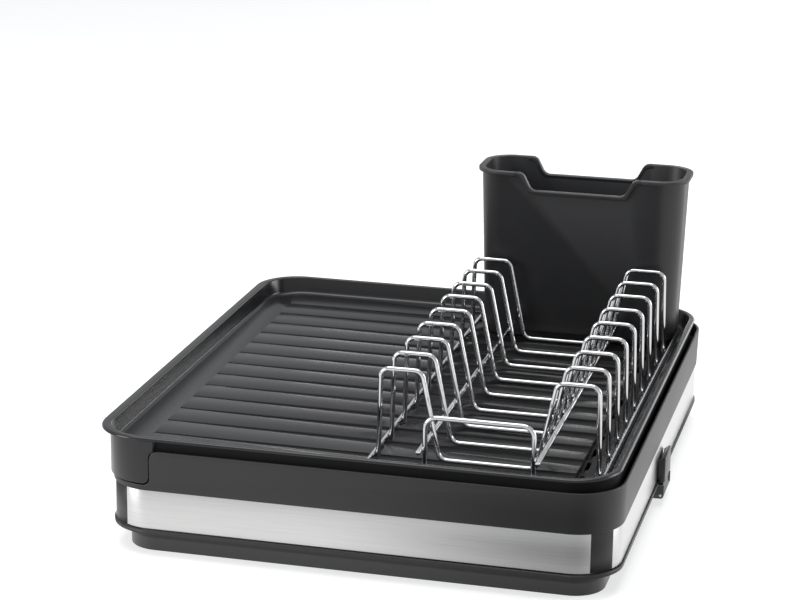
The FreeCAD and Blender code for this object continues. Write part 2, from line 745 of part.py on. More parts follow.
# Drain spout: a chute on a hinge pin, drawn folded up, and the seal around the outlet
def make_spout_chute():
    body = new_body("spout_chute")
    left = "band_half_x + run_gap"
    front, back = "spout_y - spout_half", "spout_y + spout_half"
    outline = new_sketch(body, "chute_outline", "YZ_Plane", left)
    block(outline, front, back, "axis_z", "chute_top")
    pad(body, outline, "chute_face - band_half_x - run_gap")
    channel = new_sketch(body, "chute_channel", "YZ_Plane", "chute_face - chute_skin")
    block(channel, f"{front} + chute_side", f"{back} - chute_side", "axis_z - barrel_radius", "chute_top + wall")
    pocket(body, channel, "chute_face - chute_skin - band_half_x")
    slope = new_sketch(body, "chute_top_slope", "XZ_Plane", "- spout_y")
    polygon(slope, [("band_half_x - wall", "chute_top - chute_slope"), (left, "chute_top - chute_slope"),
                    ("chute_face - chute_skin", "chute_top"), ("chute_face - chute_skin", "chute_top + wall"),
                    ("band_half_x - wall", "chute_top + wall")])
    pocket(body, slope, "spout_half + spout_half + wall", both_ways=True)
    foot = new_sketch(body, "chute_foot_step", "XZ_Plane", "- spout_y")
    block(foot, "chute_face - face_step", "chute_face + wall", "axis_z - wall", "axis_z + face_rise")
    pocket(body, foot, "spout_half + spout_half + wall", both_ways=True)
    barrel = new_sketch(body, "chute_barrel", "XZ_Plane", "- spout_y")
    circle_at(barrel, "axis_x", "axis_z", "barrel_radius")
    pad(body, barrel, "spout_half + spout_half", both_ways=True)
    bore = new_sketch(body, "chute_bore", "XZ_Plane", "- spout_y")
    circle_at(bore, "axis_x", "axis_z", "pin_radius + pin_play")
    pocket(body, bore, "spout_half + spout_half + wall", both_ways=True)
    return body


def make_spout_pin():
    body = new_body("spout_hinge_pin")
    rod = new_sketch(body, "pin_rod", "XZ_Plane", "- spout_y")
    circle_at(rod, "axis_x", "axis_z", "pin_radius")
    pad(body, rod, "spout_half + spout_half + run_gap + run_gap + ear_thick + ear_thick", both_ways=True)
    return body


def make_spout_seal():
    body = new_body("spout_seal")
    ring = new_sketch(body, "seal_ring", "YZ_Plane", "nose_tip + seat_gap")
    block(ring, "spout_y - nose_half + snug", "spout_y + nose_half - snug", "nose_low + snug", "nose_high - snug")
    pad(body, ring, "seal_thick - seat_gap")
    hole = new_sketch(body, "seal_hole", "YZ_Plane", "nose_tip + seal_thick")
    block(hole, "spout_y - outlet_half", "spout_y + outlet_half", "tub_floor_top", "outlet_top")
    pocket(body, hole)
    return body


# Plate rack: bent wires, each a round bar along straight runs joined by tangent bends
def bent_path(corners, bends, closed=False):
    """A wire through corner points, with a bend radius at each corner that has one."""
    count = len(corners)
    entries, exits = list(corners), list(corners)
    pieces = []
    for k in range(count):
        bend = bends[k]
        if not bend:
            continue
        before = (corners[k - 1] - corners[k]).normalize()
        after = (corners[(k + 1) % count] - corners[k]).normalize()
        half = before.getAngle(after) / 2
        reach = bend / math.tan(half)
        entries[k] = corners[k] + before * reach
        exits[k] = corners[k] + after * reach
        bisector = (before + after).normalize()
        middle = corners[k] + bisector * (bend / math.sin(half) - bend)
        pieces.append((k, Part.Arc(entries[k], middle, exits[k]).toShape()))
    arcs = dict(pieces)
    edges = []
    for k in range(count):
        if k in arcs:
            edges.append(arcs[k])
        if closed or k < count - 1:
            edges.append(Part.makeLine(exits[k], entries[(k + 1) % count]))
    return Part.Wire(edges)


def round_bar(label, corners, bends, closed=False):
    """A round wire of the rack's thickness swept along a bent path."""
    path = bent_path(corners, bends, closed)
    first = path.Edges[0]
    start = first.valueAt(first.FirstParameter)
    along = first.tangentAt(first.FirstParameter)
    if closed:
        first = path.Edges[1]
        start = first.valueAt(first.FirstParameter)
        along = first.tangentAt(first.FirstParameter)
        path = Part.Wire(path.Edges[1:] + path.Edges[:1])
    profile = Part.Wire([Part.makeCircle(size("wire_radius"), start, along)])
    bar = path.makePipeShell([profile], True, False)
    item = doc.addObject("Part::Feature", label)
    item.Label = label
    item.Shape = bar
    return item


def make_plate_wire(number):
    """One cross wire: two arches and the bar between them on the tray floor."""
    x = size("rack_x")
    y = -size("first_wire_y") + (number - 1) * size("wire_pitch")
    low = total("floor_top + run_gap")
    bar = low + size("wire_radius")
    half = [(-size("outer_foot"), low), (-size("outer_top"), size("arch_high")), (-size("inner_top"), size("arch_high")),
            (-size("inner_foot"), bar)]
    points = [Vector(x + px, y, pz) for px, pz in half]
    points += [Vector(x - px, y, pz) for px, pz in reversed(half)]
    arch, foot = size("arch_bend"), size("bar_bend")
    return round_bar(f"plate_wire_{number}", points, [0, arch, arch, foot, foot, arch, arch, 0])


def inner_rail_x():
    """How far a raised rail lies from the rack's middle, beside the sloping inner legs at its height."""
    bar = total("floor_top + run_gap + wire_radius")
    slope = total("inner_top - inner_foot") / (size("arch_high") - bar)
    leg = size("inner_foot") + slope * (size("inner_rail_high") - bar)
    return leg + total("wire_radius + wire_radius + seat_gap") * math.hypot(1, slope)


def make_rack_rail(side, sign):
    """A straight rail welded to the outer side of the inner legs."""
    x = size("rack_x") + sign * inner_rail_x()
    last = -size("first_wire_y") + (size("wire_count") - 1) * size("wire_pitch")
    ends = [Vector(x, -total("hoop_y + inner_rail_past"), size("inner_rail_high")),
            Vector(x, last + size("inner_rail_past"), size("inner_rail_high"))]
    return round_bar(f"rack_rail_{side}", ends, [0, 0])


def make_rack_hoop():
    """The hoop across the front ends of the two rails."""
    reach = inner_rail_x() - total("wire_radius + wire_radius + seat_gap")
    low, high = total("floor_top + run_gap"), size("hoop_high")
    points = [Vector(size("rack_x") + px, -size("hoop_y"), pz)
              for px, pz in ((-reach, low), (-reach, high), (reach, high), (reach, low))]
    return round_bar("rack_front_hoop", points, [0, size("hoop_bend"), size("hoop_bend"), 0])


def make_rack_frame():
    """The wire that runs around the feet on the tray floor."""
    reach = total("outer_foot + wire_radius + wire_radius + seat_gap")
    front = -total("hoop_y - wire_radius - wire_radius - seat_gap")
    level = total("floor_top + run_gap + wire_radius")
    points = [Vector(size("rack_x") + px, py, level)
              for px, py in ((-reach, front), (reach, front), (reach, size("frame_back")), (-reach, size("frame_back")))]
    return round_bar("rack_base_frame", points, [size("frame_bend")] * 4, closed=True)


# Cutlery caddy
def make_cutlery_caddy():
    body = new_body("cutlery_caddy")
    low = "floor_top + run_gap"
    seat = f"{low} + caddy_step_high"
    step = new_sketch(body, "caddy_foot", "XY_Plane", low)
    caddy_outline(step, "- caddy_step_in")
    pad(body, step, "caddy_step_high")
    outline = new_sketch(body, "caddy_outline", "XY_Plane", seat)
    caddy_outline(outline, "")
    pad(body, outline, f"caddy_high - {seat.replace('+', '-')}", flare="caddy_draft")
    lip = new_sketch(body, "caddy_lip", "XY_Plane", "caddy_high - lip_thick")
    caddy_outline(lip, "+ lip_reach")
    pad(body, lip, "lip_thick")
    dip = new_sketch(body, "caddy_dip", "XZ_Plane", "0")
    middle = "dip_middle"
    top, bottom = "caddy_high", "caddy_high - notch_drop"
    polygon(dip, [(f"{middle} - notch_low_half", bottom), (f"{middle} + notch_low_half", bottom),
                  (f"{middle} + notch_top_half", top), (f"{middle} + notch_top_half", f"{top} + wall"),
                  (f"{middle} - notch_top_half", f"{top} + wall"), (f"{middle} - notch_top_half", top)])
    pocket(body, dip, "caddy_back + caddy_back + wall + lip_reach + lip_reach + lip_reach", both_ways=True)
    strip = [(f"{middle} - notch_top_half", top), (f"{middle} - notch_low_half", bottom),
             (f"{middle} + notch_low_half", bottom), (f"{middle} + notch_top_half", top),
             (f"{middle} + notch_top_half + lip_bend", f"{top} - lip_thick"),
             (f"{middle} + notch_low_half + lip_bend", f"{bottom} - lip_thick"),
             (f"{middle} - notch_low_half - lip_bend", f"{bottom} - lip_thick"),
             (f"{middle} - notch_top_half - lip_bend", f"{top} - lip_thick")]
    band = new_sketch(body, "dip_lip", "XZ_Plane", "- caddy_front + lip_reach")
    polygon(band, strip)
    band_pad = pad(body, band, "caddy_back - caddy_front + lip_reach + lip_reach")
    band_pad.Reversed = True
    doc.recompute()
    inside = new_sketch(body, "caddy_inside", "XY_Plane", f"{seat} + caddy_wall")
    caddy_outline(inside, "- caddy_wall")
    hollow = body.newObject("PartDesign::Pocket", "caddy_hollow")
    hollow.Profile = inside
    hollow.setExpression("Length", formula(f"caddy_high - {seat.replace('+', '-')}"))
    hollow.setExpression("TaperAngle", formula("caddy_draft"))
    hollow.Reversed = True
    doc.recompute()
    sole = new_sketch(body, "caddy_sole", "XY_Plane", f"{seat} + caddy_wall")
    caddy_outline(sole, "- caddy_step_in - caddy_wall")
    pocket(body, sole, "caddy_step_high")
    holes = new_sketch(body, "caddy_holes", "XY_Plane", seat)
    for place in ("- drain_pitch - drain_pitch", "- drain_pitch", "", "+ drain_pitch", "+ drain_pitch + drain_pitch"):
        for row in ("caddy_front + drain_row_in", "caddy_back - drain_row_in"):
            circle_at(holes, f"{middle} {place}", row, "drain_radius")
    pocket(body, holes)
    return body


def caddy_outline(sketch, grow):
    """The caddy's rounded outline, moved outwards by a sum."""
    rounded_outline(sketch, f"caddy_left {negate(grow)}", f"caddy_right {grow}", f"caddy_front {negate(grow)}",
                    f"caddy_back {grow}", f"caddy_corner {grow}")


# Build every sub-part, check it and write it out
pieces = [make_base_tub(), make_steel_band(), make_base_collar()]
pieces += [make_foot_pad(number, centre) for number, centre in enumerate(pad_centres(), start=1)]
for side, sign in (("front", -1), ("back", 1)):
    pieces += [make_slide_rail(side, sign), make_rail_screws(side, sign), make_tray_runner(side, sign)]
pieces.append(make_sliding_tray())
pieces += [make_spout_chute(), make_spout_pin(), make_spout_seal()]
pieces += [make_plate_wire(number) for number in range(1, int(size("wire_count")) + 1)]
pieces += [make_rack_rail("left", -1), make_rack_rail("right", 1), make_rack_hoop(), make_rack_frame()]
pieces.append(make_cutlery_caddy())
for piece in pieces:
    piece.setExpression("Placement.Base.x", "(sizes.rim_left - sizes.chute_face) / 2")
doc.recompute()

for item in doc.Objects:
    if "Invalid" in item.State or "Error" in item.State:
        raise RuntimeError(f"{item.Name} did not build: {item.State}")
for piece in pieces:
    if piece.Shape.isNull() or not piece.Shape.isValid():
        raise RuntimeError(f"{piece.Label} has no valid shape")
    piece.Shape.exportStep(f"parts/{piece.Label}.step")
    box = piece.Shape.BoundBox
    print(f"{piece.Label:20s} {piece.Shape.Volume:10.0f} mm3 in {len(piece.Shape.Solids)} solids, "
          f"x {box.XMin:.1f} {box.XMax:.1f}, y {box.YMin:.1f} {box.YMax:.1f}, z {box.ZMin:.1f} {box.ZMax:.1f}")
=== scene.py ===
# %% [markdown]
# # An expandable dish rack
# The rack stands on a worktop: a black tub with a brushed steel band, a tray that slides out over
# its left end, a plate rack of bent wire, a cutlery caddy and a small spout that folds down to
# drain the tub. The engineering model gives every size and place. This lesson dresses it: each
# visible piece is modelled again with soft edges, because real mouldings and bent wires catch the
# light along their rounded edges.

# %% Load the engineering model
import json
import math
import bmesh
import bpy
from mathutils import Matrix, Vector

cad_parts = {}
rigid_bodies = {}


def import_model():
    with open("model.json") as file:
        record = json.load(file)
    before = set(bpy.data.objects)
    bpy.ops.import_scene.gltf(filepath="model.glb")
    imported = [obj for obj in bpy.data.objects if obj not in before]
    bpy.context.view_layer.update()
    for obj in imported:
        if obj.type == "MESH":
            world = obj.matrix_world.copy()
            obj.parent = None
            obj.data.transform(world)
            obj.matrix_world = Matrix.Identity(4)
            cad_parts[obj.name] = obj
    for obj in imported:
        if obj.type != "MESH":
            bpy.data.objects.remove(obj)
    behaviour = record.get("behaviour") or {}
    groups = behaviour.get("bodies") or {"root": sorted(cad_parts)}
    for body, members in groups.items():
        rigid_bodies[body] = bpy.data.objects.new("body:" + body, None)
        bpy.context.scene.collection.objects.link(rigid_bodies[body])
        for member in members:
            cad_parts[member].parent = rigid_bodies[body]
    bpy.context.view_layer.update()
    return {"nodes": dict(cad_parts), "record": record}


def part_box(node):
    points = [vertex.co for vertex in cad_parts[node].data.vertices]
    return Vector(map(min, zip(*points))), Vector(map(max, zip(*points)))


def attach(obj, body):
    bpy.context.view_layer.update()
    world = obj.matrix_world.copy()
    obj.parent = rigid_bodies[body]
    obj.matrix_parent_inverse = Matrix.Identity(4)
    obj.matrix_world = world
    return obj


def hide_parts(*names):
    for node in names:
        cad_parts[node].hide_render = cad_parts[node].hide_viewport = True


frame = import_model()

# %% [markdown]
# ## Measures
# Blender works in metres, and a rack is easier to think of in millimetres. So the numbers below
# are millimetres, and mm turns them into metres where they reach Blender. They count from the
# middle of the tub. The origin of the frame lies under the middle of the whole rack, a little to
# the left of that, so each finished piece moves over by the same small step.

# %% Measures shared by the pieces
mm = 0.001
OVER = 2.1
WIRE = 1.7
TOUCH = 0.01


def box_of(node):
    """The lowest and highest corner of an engineering node, around the tub's middle."""
    return [[(corner[0] / mm - OVER), corner[1] / mm, corner[2] / mm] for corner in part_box(node)]


for node in ("base_tub", "steel_band", "base_collar", "sliding_tray", "cutlery_caddy",
             "spout_chute"):
    print(node, [[round(v, 1) for v in corner] for corner in box_of(node)])

# %% [markdown]
# ## Working in edit mode from a script
# Every piece starts as a cube or a circle and is shaped with the same operators as by hand. An
# operator acts on what is selected, so each step first says in code which faces or edges it
# means. It says so by their place: a face by where it looks, an edge by where its middle lies.

# %% Selecting by place
UP, DOWN = (0, 0, 1), (0, 0, -1)


def start(add, **settings):
    """Add a primitive with nothing else selected and open it in edit mode."""
    if bpy.context.object and bpy.context.object.mode != "OBJECT":
        bpy.ops.object.mode_set(mode="OBJECT")
    bpy.ops.object.select_all(action="DESELECT")
    add(**settings)
    bpy.ops.object.mode_set(mode="EDIT")
    return bpy.context.object


def close(piece):
    """Leave edit mode."""
    bpy.ops.object.mode_set(mode="OBJECT")
    return piece


def choose(piece, kind, test):
    """Select the faces, edges or verts whose middle passes a test, and say how many."""
    bpy.ops.mesh.select_mode(type={"faces": "FACE", "edges": "EDGE", "verts": "VERT"}[kind])
    bpy.ops.mesh.select_all(action="DESELECT")
    mesh = bmesh.from_edit_mesh(piece.data)
    found = 0
    for item in getattr(mesh, kind):
        if kind == "verts":
            middle = item.co
        elif kind == "edges":
            middle = (item.verts[0].co + item.verts[1].co) / 2
        else:
            middle = item.calc_center_median()
        if test(item, middle):
            item.select_set(True)
            found += 1
    mesh.select_flush_mode()
    bmesh.update_edit_mesh(piece.data)
    return found


def facing(direction, level=None):
    """A test for faces that look along a direction, at a height where one is given."""
    look = Vector(direction)

    def test(face, middle):
        high = level is None or abs(middle.z / mm - level) < 0.05
        return high and face.normal.dot(look) > 0.99
    return test


def upright(edge, middle):
    """A test for edges that stand upright."""
    run = edge.verts[1].co - edge.verts[0].co
    return abs(run.normalized().z) > 0.999


def at(x=None, z=None, slack=TOUCH):
    """A test for edges whose middle lies at an x, at a z, or at both."""
    def test(edge, middle):
        return ((x is None or abs(middle.x / mm - x) < slack)
                and (z is None or abs(middle.z / mm - z) < slack))
    return test


print("selecting to within", TOUCH, "mm")

# %% [markdown]
# The shaping steps are the operators of the edit menu, wrapped so that they take millimetres. The
# slab is the start of nearly every moulding: a cube stretched to its three ranges, with its
# upright edges rounded. Inset and extrude in one step then draw new walls from its caps.

# %% Shaping what is selected


def move(x, y, z):
    """Move what is selected."""
    bpy.ops.transform.translate(value=(x * mm, y * mm, z * mm))


def extrude(x, y, z):
    """Extrude what is selected."""
    bpy.ops.mesh.extrude_region_move(
        TRANSFORM_OT_translate={"value": (x * mm, y * mm, z * mm)})


def round_off(width, steps):
    """Round the selected edges."""
    bpy.ops.mesh.bevel(offset=width * mm, segments=steps, affect="EDGES")


def both(half):
    """A range that reaches as far to both sides."""
    return -half, half


def slab(x, y, z, corner=0, steps=12):
    """A cube stretched to three ranges, its upright edges rounded; left open in edit mode."""
    piece = start(bpy.ops.mesh.primitive_cube_add, size=1)
    bpy.ops.mesh.select_all(action="SELECT")
    bpy.ops.transform.resize(value=tuple((high - low) * mm for low, high in (x, y, z)))
    move(*((low + high) / 2 for low, high in (x, y, z)))
    if corner:
        choose(piece, "edges", upright)
        round_off(corner, steps)
    return piece


def grow_face(width):
    """Move the outline of the selected flat face outwards by the same amount on each side."""
    mesh = bmesh.from_edit_mesh(bpy.context.object.data)
    verts = [v for v in mesh.verts if v.select]
    xs, ys = [v.co.x for v in verts], [v.co.y for v in verts]
    wide, deep = max(xs) - min(xs), max(ys) - min(ys)
    middle = ((max(xs) + min(xs)) / 2, (max(ys) + min(ys)) / 2, verts[0].co.z)
    bpy.ops.transform.resize(value=(1 + 2 * width * mm / wide, 1 + 2 * width * mm / deep, 1),
                             center_override=middle)


def draw_in(width=0, rise=0, shrink=0):
    """Inset the selected face, then extrude it up or down; shrink gives the new wall a draft."""
    if width:
        bpy.ops.mesh.inset(thickness=width * mm, use_boundary=True)
    if rise:
        extrude(0, 0, rise)
    if shrink:
        grow_face(-shrink)


def open_ends(piece):
    """Delete the two caps, so that a slab becomes a tube."""
    choose(piece, "faces", lambda f, m: abs(f.normal.z) > 0.9)
    bpy.ops.mesh.delete(type="ONLY_FACE")


print("shaping helpers ready")

# %% [markdown]
# Modifiers do what would be slow by hand: cutting one solid with another, copying in a row, and
# rounding every sharp edge. Each is applied at once. A finished piece then takes its name, rides
# on a body of the engineering model and stands for the nodes that it covers.

# %% Modifiers and finished pieces
SMOOTH_UNDER = 32
worn = {}


def take(piece):
    """Select one piece alone and make it the active one."""
    bpy.ops.object.select_all(action="DESELECT")
    piece.select_set(True)
    bpy.context.view_layer.objects.active = piece


def modify(piece, kind, **settings):
    """Add a modifier and apply it at once."""
    take(piece)
    step = piece.modifiers.new(kind.title(), kind)
    for name, value in settings.items():
        setattr(step, name, value)
    bpy.ops.object.modifier_apply(modifier=step.name)


def carve(piece, tool, operation="DIFFERENCE"):
    """Cut, or join, a piece with another solid, which is used up."""
    modify(piece, "BOOLEAN", object=tool, operation=operation, solver="EXACT")
    bpy.data.objects.remove(tool, do_unlink=True)


def repeat(piece, count, step):
    """Copy a piece along Y, so that there are a number of them a step apart."""
    modify(piece, "ARRAY", count=count, use_relative_offset=False, use_constant_offset=True,
           constant_offset_displace=(0, step * mm, 0))


def tidy_faces(piece):
    """Merge doubled points and flat neighbours, so that bevels run cleanly."""
    take(piece)
    bpy.ops.object.mode_set(mode="EDIT")
    bpy.ops.mesh.select_all(action="SELECT")
    bpy.ops.mesh.remove_doubles(threshold=0.01 * mm)
    bpy.ops.mesh.dissolve_limited(angle_limit=math.radians(0.5))
    bpy.ops.mesh.normals_make_consistent(inside=False)
    bpy.ops.object.mode_set(mode="OBJECT")


def soften(piece, width, steps, angle=35):
    """Round every edge that is sharper than an angle and shade the rest smooth."""
    modify(piece, "BEVEL", width=width * mm, segments=steps, limit_method="ANGLE",
           angle_limit=math.radians(angle), use_clamp_overlap=True, harden_normals=False)
    take(piece)
    bpy.ops.object.shade_smooth_by_angle(angle=math.radians(SMOOTH_UNDER))


def finish_piece(piece, name, body, nodes, slot):
    """Clean and name a piece, move it over to the frame's origin and say what it stands for."""
    take(piece)
    bpy.ops.object.mode_set(mode="EDIT")
    bpy.ops.mesh.select_all(action="SELECT")
    bpy.ops.mesh.remove_doubles(threshold=0.004 * mm)
    bpy.ops.mesh.dissolve_degenerate(threshold=0.004 * mm)
    bpy.ops.object.mode_set(mode="OBJECT")
    piece.name = name
    piece.data.name = name
    piece.data.transform(Matrix.Translation((OVER * mm, 0, 0)))
    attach(piece, body)
    if nodes:
        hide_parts(*nodes)
    worn[name] = slot
    print(name, len(piece.data.polygons), "faces")


print("edges under", SMOOTH_UNDER, "degrees are shaded smooth")

# %% [markdown]
# ## The tub
# The real tub is one black moulding: a plinth foot, a lip that carries the steel band, and a wall
# behind the band, with a dark groove between lip and band. A moulding like this steps in and
# out, so the widest part, the lip, is the start. The rest grows from it by inset and extrude:
# upwards for the groove and the wall, back down for the basin, and below for the hollow foot.

# %% Model the tub
LIP_LOW, LIP_TOP = 16.4, 18.9
tub = slab(x=both(178.1), y=both(208.8), z=(LIP_LOW, LIP_TOP), corner=33.7)
choose(tub, "faces", facing(UP))
draw_in(width=5.6, rise=1.4, shrink=-3.5)   # the groove, and out again below the band
draw_in(rise=45.7)                          # the wall's outside
draw_in(width=2.4, rise=-45.4)              # the wall's inside
draw_in(width=10.4, rise=-7.2)              # the sunk floor
choose(tub, "faces", facing(DOWN, LIP_LOW))
draw_in(width=11.4, rise=-16.1)             # the foot
draw_in(width=3.4, rise=10.7)               # its hollow
close(tub)
carve(tub, close(slab(x=(-190, -138.3), y=both(215), z=(50, 70))))
print("tub", len(tub.data.polygons), "faces, its left end cut down for the tray")

# %% [markdown]
# At the right the lip opens into a bay for the folded spout, with an ear at each side for its
# pin. A nose behind the bay holds the slot that the water leaves through.

# %% Bay, ears and outlet
BAY = (-17.3, 11.3)
EAR_TIP, EAR_FOOT = 182.2, 6.6
carve(tub, close(slab(x=(176.2, 182), y=BAY, z=(15, 21))))
for sides in ((-19.8, BAY[0]), (BAY[1], 13.8)):
    ear = slab(x=(163, EAR_TIP), y=sides, z=(EAR_FOOT, 16.6))
    choose(ear, "edges", at(x=EAR_TIP, z=EAR_FOOT))
    round_off(2.3, 5)
    carve(tub, close(ear), "UNION")
carve(tub, close(slab(x=(163, 179), y=(-13, 7), z=(11.7, 20.2))), "UNION")
carve(tub, close(slab(x=(158, 182), y=(-11, 5), z=(13.4, 18.4))))
tidy_faces(tub)
soften(tub, 0.8, 3)
finish_piece(tub, "tub_moulding", "base", ["base_tub"], "black_plastic")

# %% [markdown]
# The floor of the tub has flat ribs that keep what stands on it out of the water. They show when
# the tray is slid out. One is modelled and copied.

# %% Ribs on the tub floor
RIBS, RIB_STEP = 13, 26
rib = close(slab(x=both(142), y=(-159, -153), z=(13.3, 14.6), corner=2.5, steps=5))
repeat(rib, RIBS, RIB_STEP)
soften(rib, 0.4, 2)
finish_piece(rib, "tub_floor_ribs", "base", [], "black_plastic")

# %% [markdown]
# ## The steel band
# A strip of thin stainless sheet bent round the tub. It is a tube with no caps, so the two caps
# of the slab are deleted and the wall gets its thickness inwards.

# %% Model the band
SHEET = 0.8
band = slab(x=both(177), y=both(207.7), z=(20.1, 47.75), corner=32.6, steps=20)
open_ends(band)
close(band)
modify(band, "SOLIDIFY", thickness=SHEET * mm, offset=-1)
soften(band, 0.15, 2)
finish_piece(band, "band_sheet", "base", ["steel_band"], "brushed_band")

# %% [markdown]
# ## The collar
# The black wall above the band leans out a little. On the left it is cut open for the tray's
# lowered end: the cut has a rounded shoulder at the top and a hollow round at the bottom. The
# hollow round comes from a cutter whose own edge is rounded, and the shoulder is bevelled after
# the cut.

# %% Model the collar
COLLAR_TOP, COLLAR_WALL, LEAN = 76.6, 1.9, 0.8
CUT_X, CUT_LOW = -142.4, 51.6
SHOULDER_ROUND, HOLLOW_ROUND = 7, 5
collar = slab(x=both(178), y=both(208.7), z=(47.85, COLLAR_TOP), corner=33.6, steps=20)
choose(collar, "faces", facing(UP))
grow_face(LEAN)
open_ends(collar)
close(collar)
modify(collar, "SOLIDIFY", thickness=COLLAR_WALL * mm, offset=-1)
cutter = slab(x=(-200, CUT_X), y=both(220), z=(CUT_LOW, 90))
choose(cutter, "edges", at(x=CUT_X, z=CUT_LOW))
round_off(HOLLOW_ROUND, 6)
carve(collar, close(cutter))
tidy_faces(collar)
bpy.ops.object.mode_set(mode="EDIT")
at_cut = at(x=CUT_X, slack=0.05)
choose(collar, "edges", lambda e, m: at_cut(e, m) and m.z > (COLLAR_TOP - 0.2) * mm
       and abs(e.verts[0].co.y - e.verts[1].co.y) > mm)
round_off(SHOULDER_ROUND, 7)
close(collar)
soften(collar, 0.6, 3)
finish_piece(collar, "collar_wall", "base", ["base_collar"], "black_plastic")

# %% [markdown]
# ## The sliding tray
# The tray is a second moulding: a thin rolled rim that is undercut outside, a hollowed wall and a
# floor of flat planks. The rim is its widest part and so the start. Its left wall stands further
# in than the others, so the left half of each new outline is moved over before it is extruded.

# %% Picking edges by the rim's outline
RIM_X, RIM_Y, RIM_CORNER, RIM_TOP = (-186.6, 175.2), (-208.2, 208.2), 34.4, 85.4
TRAY_FLOOR, TRAY_UNDER = 72, 68


def rim_gap(point):
    """How far a point lies outside the rim's rounded outline; negative inside it."""
    dx, dy = (value / mm - min(max(value / mm, low + RIM_CORNER), high - RIM_CORNER)
              for value, (low, high) in ((point.x, RIM_X), (point.y, RIM_Y)))
    return math.hypot(dx, dy) - RIM_CORNER


def rim_edge(edge, middle):
    """A test for the top edges that lie on the rim's outline."""
    level = abs(middle.z / mm - RIM_TOP) < TOUCH
    return level and all(abs(rim_gap(v.co)) < 0.05 for v in edge.verts)


def slide_left_side(by):
    """Move the left half of the selected face's outline along X."""
    mesh = bmesh.from_edit_mesh(bpy.context.object.data)
    for vert in {v for f in mesh.faces if f.select for v in f.verts}:
        if vert.co.x < 0:
            vert.co.x += by * mm
    bmesh.update_edit_mesh(bpy.context.object.data)


print("rim outline", RIM_X, RIM_Y, "corner", RIM_CORNER)

# %% Rim, wall and basin
tray = slab(x=RIM_X, y=RIM_Y, z=(83.5, RIM_TOP), corner=RIM_CORNER, steps=16)
choose(tray, "faces", facing(DOWN))
draw_in(rise=-1.3, shrink=2.4)              # the undercut
draw_in(width=0.1)
slide_left_side(4.2)
draw_in(rise=-14.2)                         # the wall's outside
choose(tray, "faces", facing(UP))
draw_in(width=4.4)                          # the rim's flat top
slide_left_side(2.8)
draw_in(rise=-13.4, shrink=1.3)             # the wall's inside, down to the floor
choose(tray, "edges", at(z=TRAY_FLOOR))
round_off(2.8, 5)
choose(tray, "edges", at(z=TRAY_UNDER))
round_off(4, 4)
choose(tray, "edges", rim_edge)
round_off(1.7, 6)
on_top = at(z=RIM_TOP)
choose(tray, "edges", lambda e, m: on_top(e, m) and rim_gap(m) < -3)
round_off(0.8, 3)
close(tray)
print("tray shell", len(tray.data.polygons), "faces")

# %% [markdown]
# The floor's channels start as a thin line on the left and get wider and deeper towards the
# gutter on the right. One cutter is a cube whose left end is narrowed; an array copies it, and a
# second cube is the gutter. The cutter's upper part widens along a quarter circle, so that every
# plank gets a rounded shoulder that catches light.

# %% The cutter for the channels
CHANNELS, CHANNEL_STEP = 13, 27.4
CHANNEL_Y, CHANNEL_LOW = (-157.9 - 13, -157.9), 69.8
SHOULDER = 0.65
BETWEEN = -158.8                            # lies between the long sides, at both ends
channel = slab(x=(-156, 142.5), y=CHANNEL_Y, z=(CHANNEL_LOW, TRAY_FLOOR - SHOULDER))
choose(channel, "verts", lambda v, m: m.x < -150 * mm and m.y < -160 * mm)
move(0, 11.4, 0)                            # the left end is narrow
choose(channel, "verts", lambda v, m: m.x < -150 * mm and m.z < 70 * mm)
move(0, 0, 1.5)                             # and shallow
level = TRAY_FLOOR - SHOULDER
for inner, outer in ((1.0, 0.866), (0.866, 0.5), (0.5, 0.0)):
    choose(channel, "faces", facing(UP))
    rise = SHOULDER * (math.sqrt(1 - outer ** 2) - math.sqrt(1 - inner ** 2))
    extrude(0, 0, rise)
    level += rise
    for sign in (-1, 1):
        choose(channel, "verts", lambda v, m: abs(m.z / mm - level) < TOUCH
               and (m.y > BETWEEN * mm) == (sign > 0))
        move(0, sign * SHOULDER * (inner - outer), 0)
choose(channel, "faces", facing(UP))
extrude(0, 0, 1)
close(channel)
print("channel cutter", len(channel.data.polygons), "faces")

# %% [markdown]
# Where a plank ends at the gutter its two corners are rounded, as in the real moulding. These
# corners are there only after the cuts, so they are bevelled last.

# %% Channels, gutter and drain slots
GUTTER_X = (141.5, 153)
repeat(channel, CHANNELS, CHANNEL_STEP)
carve(tray, channel)
carve(tray, close(slab(x=GUTTER_X, y=both(184), z=(CHANNEL_LOW, 74), corner=4, steps=6)))
slot = close(slab(x=(144.2, 147.2), y=(-172.4, -156.4), z=(60, 74), corner=1.4, steps=4))
repeat(slot, CHANNELS, CHANNEL_STEP)
carve(tray, slot)
tidy_faces(tray)
bpy.ops.object.mode_set(mode="EDIT")
at_gutter = at(x=GUTTER_X[0], slack=0.02)
ends = choose(tray, "edges", lambda e, m: at_gutter(e, m) and upright(e, m)
              and m.z > (CHANNEL_LOW + 0.1) * mm)
round_off(4.5, 5)
close(tray)
print("plank corners rounded:", ends)

# %% [markdown]
# The lowered left end, the apron, wraps round both corners. It is a thin shell that ends at the
# collar's seam: its lower corner is rounded and its upper corner is hollow, to follow the
# collar's shoulder. Above the collar its end is slanted, so that it fades into the undercut.

# %% The apron at the tray's left end
SEAM_X, APRON_LOW, SHOULDER_TOP = -143.1, 52.3, 77.3


def left_corner(edge, middle):
    """A test for the upright edges at the left end."""
    return upright(edge, middle) and middle.x < -170 * mm


